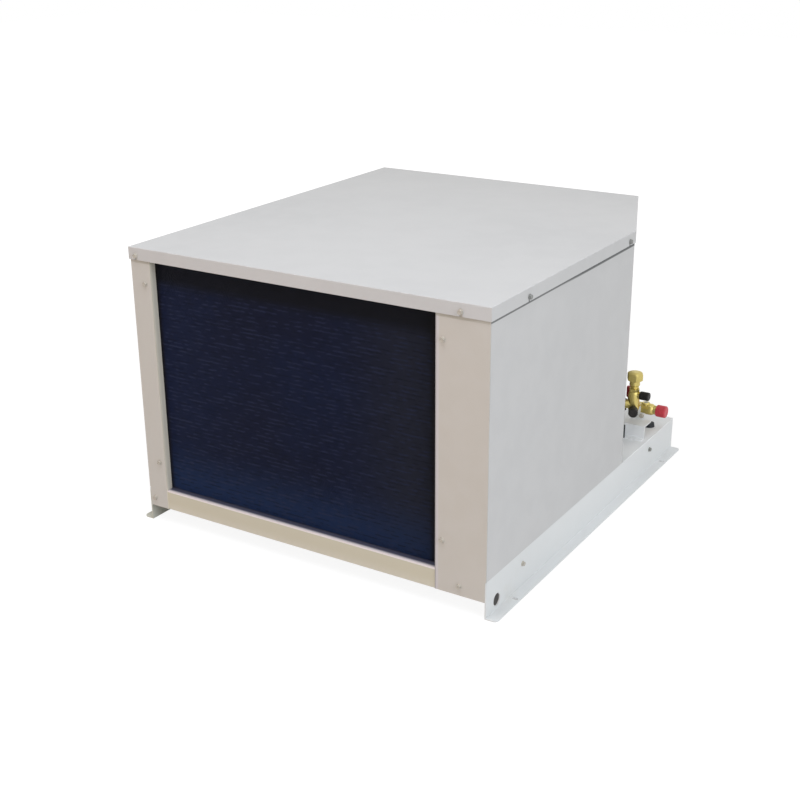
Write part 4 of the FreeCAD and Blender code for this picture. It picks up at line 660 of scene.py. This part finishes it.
# The four port caps, in millimetres, with their mouths in metres
capStart = 13.3 * mm  # from the valve's middle to a flare port's cap
portCaps = {
    "gaugeCap": {
        "radius": 8.5, "length": 19.0, "bore": 5.3, "rib": 0.22, "edge": 2.0, "ribs": 26, "around": 156,
        "mouth": suctionFoot + up * suctionValve["gaugeHeight"] * mm + right * capStart, "axis": right,
        "finish": blackPlastic, "body": "gauge_cap", "slot": "black_plastic", "node": "suction_gauge_cap"},
    "frontCap": {
        "radius": 9.5, "length": 19.0, "bore": 5.3, "rib": 0.22, "edge": 2.0, "ribs": 28, "around": 168,
        "mouth": suctionFoot + up * suctionValve["frontHeight"] * mm - cornerAlong * capStart, "axis": -cornerAlong,
        "finish": blackPlastic, "body": "front_cap", "slot": "black_plastic", "node": "suction_front_cap"},
    "accessCap": {
        "radius": 6.2, "length": 22.0, "bore": 3.8, "rib": 0.18, "edge": 1.8, "ribs": 20, "around": 120,
        "mouth": (armCorner[0], armCorner[1], 0.1413), "axis": up,
        "finish": redPlastic, "body": "access_cap", "slot": "red_plastic", "node": "suction_access_cap"},
    "liquidLineCap": {
        "radius": 12.0, "length": 20.0, "bore": 7.3, "rib": 0.26, "edge": 2.4, "ribs": 34, "around": 204,
        "mouth": (0.3503, 0.318, 0.113), "axis": right,
        "finish": redPlastic, "body": "liquid_line_cap", "slot": "red_plastic", "node": "liquid_line_cap"}}
for name, cap in portCaps.items():
    addPiece(name, [portCapShell(cap)], cap["finish"], cap["body"], [cap["node"]], sharp=32.0)
print("valves and their caps are made")


# Screws: a domed flange, a chamfered hexagon with a dished top, and a plain shank into the sheet, in millimetres.
# Each is given by the place of its seat in metres, its outward axis, and how far its flange stands off the seat.
screwShape = {"flange": 4.75, "flats": 7.0, "height": 4.0, "shank": 2.0, "depth": 6.0, "dome": 0.85, "dish": 0.45}


def screwShell(seat, axis, standOff=0.0):
    flange, shank, depth = screwShape["flange"], screwShape["shank"], screwShape["depth"]
    corner = screwShape["flats"] / math.sqrt(3)
    top = standOff + screwShape["height"]
    rows = [(0.4, -depth), (shank - 0.4, -depth + 1.2), (shank, -depth + 2.4), (shank, standOff),
            (flange - 0.2, standOff), (flange, standOff + 0.2), (flange - 0.15, standOff + 0.55),
            (corner + 0.35, standOff + screwShape["dome"])]
    rows += hexRows(screwShape["flats"], standOff + 0.9, top, 0.45)[1:]
    rows += [(corner - 1.3, top - 0.1), (0.8, top - screwShape["dish"])]
    return turned(rows, np.array(seat), np.array(axis), around=36)


# Where the screws sit: the cabinet's front, side and rear faces in metres, and places on them in millimetres
sheetFaces = {"front": -0.408, "side": 0.353, "rear": 0.408}
cabinetScrews = {
    "front": [(-323.5, 121), (-323.5, 458.5), (271.5, 121), (271.5, 458.5), (-340.5, 46.5), (303.7, 46.5)],
    "rails": [(-1, -280), (-1, 280), (1, -280), (1, 280)], "railHeight": 42.7, "bracket": (323.7, 304.2, 101)}
lidScrews = {"front": [-338.7, 303.2], "sides": [-287.6, 109.1], "rear": [-190, 190], "standOff": 2.3,
             "height": 0.507}  # in metres

shells = [screwShell((x * mm, sheetFaces["front"], z * mm), -back) for x, z in cabinetScrews["front"]]
shells += [screwShell((side * sheetFaces["side"], y * mm, cabinetScrews["railHeight"] * mm), side * right)
           for side, y in cabinetScrews["rails"]]
shells.append(screwShell(np.array(cabinetScrews["bracket"]) * mm, -back))
addPiece("cabinetScrews", shells, coatedScrew, "cabinet", ["cabinet_screws"])

height, standOff = lidScrews["height"], lidScrews["standOff"]
shells = [screwShell((x * mm, sheetFaces["front"], height), -back, standOff) for x in lidScrews["front"]]
shells += [screwShell((side * sheetFaces["side"], y * mm, height), side * right, standOff)
           for side in (-1, 1) for y in lidScrews["sides"]]
shells += [screwShell((x * mm, sheetFaces["rear"], height), back, standOff) for x in lidScrews["rear"]]
addPiece("lidScrews", shells, coatedScrew, "cabinet", ["lid_screws"])
print("screws are made")


# Camera at the photograph's place: metres, degrees and millimetres
view = {"place": (1.19378, -1.99916, 1.07115), "turn": (68.8857, 0.42375, 31.9515), "lens": 57.9856, "sensor": 36.0}
camera = bpy.data.objects.new("camera", bpy.data.cameras.new("camera"))
bpy.context.scene.collection.objects.link(camera)
camera.location = view["place"]
camera.rotation_euler = [math.radians(part) for part in view["turn"]]
camera.data.lens = view["lens"]
camera.data.sensor_width = view["sensor"]
bpy.context.scene.camera = camera

# Studio: a white room for the camera, a pale floor, and three soft lamps. The floor's glow dims near the middle as a
# painted soft shadow, and goes out under the closed base and fades below the rails' toes as painted shadow, where no
# light would get in.
studio = {
    "room": (0.485, 0.470, 0.435),  # what the white room gives to diffuse surfaces
    "floor": {
        "plain": (0.80, 0.80, 0.79),  # its colour for diffuse light
        # its glow dims towards the middle: a painted soft shadow round the object
        "white": {"near": 0.8, "far": 2.2, "atNear": 0.90, "atFar": 1.0},  # its glow by the distance from the middle
        "shadow": (0.165, 0.165, 0.165),  # the share that lamps light and the object shades
        "under": {"kind": "box", "centre": (0.0, 0.0193, 0.0), "half": (0.3515, 0.381, 1.0), "soft": 0.003},
        "rails": {"kind": "box", "centre": (0.0, 0.0, 0.0), "half": (0.3725, 0.404, 1.0), "soft": 0.001},
        "between": {"kind": "box", "centre": (0.0, 0.0, 0.0), "half": (0.352, 0.5, 1.0), "soft": 0.001},
        "underShade": 0.93, "railShade": 0.60, "reach": 9.0},
    "lamps": {
        "frontLamp": {"place": (-1.4, -4.0, 0.7), "aim": (0.0, 0.0, 0.3), "size": 2.2, "watts": 17,
                      "colour": (1.0, 0.35, 0.05)},
        "topLamp": {"place": (0.1, -0.95, 2.6), "aim": (0.0, 0.0, 0.5), "size": 1.4, "watts": 30.5,
                    "colour": (0.88, 0.92, 1.0)},
        "sideLamp": {"place": (3.3, -1.3, 1.8), "aim": (0.0, 0.0, 0.25), "size": 2.2, "watts": 49,
                     "colour": (0.85, 0.90, 1.0)}}}


# 1 for the camera, in mirrors and through glass, where the room and floor are white, and 0 for diffuse light
def seenDirectly(tree):
    rays = addNode(tree, "LightPath").outputs
    return maths(tree, "MAXIMUM", rays["Is Camera Ray"],
                 maths(tree, "MAXIMUM", rays["Is Glossy Ray"], rays["Is Transmission Ray"]))


world = bpy.data.worlds.new("room")
bpy.context.scene.world = world
world.use_nodes = True
tree = world.node_tree
white = (1.0, 1.0, 1.0, 1.0)
roomColour = addNode(tree, "Mix", {0: seenDirectly(tree), 6: (*studio["room"], 1.0), 7: white}, data_type="RGBA")
setInput(tree, tree.nodes["Background"], "Color", roomColour.outputs[2])

ground = studio["floor"]
floorMaterial = bpy.data.materials.new("paleFloor")
floorMaterial.use_nodes = True
tree = floorMaterial.node_tree
tree.nodes.remove(tree.nodes["Principled BSDF"])
seen = seenDirectly(tree)
onFloor = addNode(tree, "TexCoord").outputs["Object"]
distance = addNode(tree, "VectorMath", {0: onFloor}, operation="LENGTH").outputs[1]
paintedShadowFade = ground["white"]
glow = addNode(tree, "MapRange", {0: distance, 1: paintedShadowFade["near"], 2: paintedShadowFade["far"], 3: paintedShadowFade["atNear"],
                                  4: paintedShadowFade["atFar"]}, interpolation_type="SMOOTHSTEP").outputs[0]
# painted shadow: the glow goes out under the base and fades below the rails' toes
under = maths(tree, "MULTIPLY", layerPattern(tree, onFloor, ground["under"]), ground["underShade"])
rails = layerPattern(tree, onFloor, ground["rails"])
between = layerPattern(tree, onFloor, ground["between"])
toes = maths(tree, "MULTIPLY", maths(tree, "SUBTRACT", rails, between, clamp=True), ground["railShade"])
kept = maths(tree, "SUBTRACT", 1.0, maths(tree, "MAXIMUM", under, toes))
whiteShare = addNode(tree, "Emission", {"Strength": maths(tree, "MULTIPLY", glow, kept)}).outputs[0]
shadowShare = addNode(tree, "BsdfDiffuse", {"Color": (*ground["shadow"], 1.0)}).outputs[0]
together = addNode(tree, "AddShader", {0: whiteShare, 1: shadowShare}).outputs[0]
plain = addNode(tree, "BsdfDiffuse", {"Color": (*ground["plain"], 1.0)}).outputs[0]
chosen = addNode(tree, "MixShader", {0: seen, 1: plain, 2: together}).outputs[0]
setInput(tree, tree.nodes["Material Output"], "Surface", chosen)
reach = ground["reach"]
floorMesh = bpy.data.meshes.new("floor")
floorMesh.from_pydata([(-reach, -reach, 0), (reach, -reach, 0), (reach, reach, 0), (-reach, reach, 0)], [],
                      [(0, 1, 2, 3)])
floorMesh.materials.append(floorMaterial)
floor = bpy.data.objects.new("floor", floorMesh)
bpy.context.scene.collection.objects.link(floor)

for name, lamp in studio["lamps"].items():
    data = bpy.data.lights.new(name, "AREA")
    data.size = lamp["size"]
    data.energy = lamp["watts"]
    data.color = lamp["colour"]
    holder = bpy.data.objects.new(name, data)
    bpy.context.scene.collection.objects.link(holder)
    away = np.array(lamp["place"]) - np.array(lamp["aim"])
    holder.location = lamp["place"]
    holder.rotation_euler = (math.atan2(math.hypot(away[0], away[1]), away[2]), 0.0, math.atan2(away[0], -away[1]))
bpy.context.scene.view_settings.view_transform = "Standard"
print("camera and studio are set")
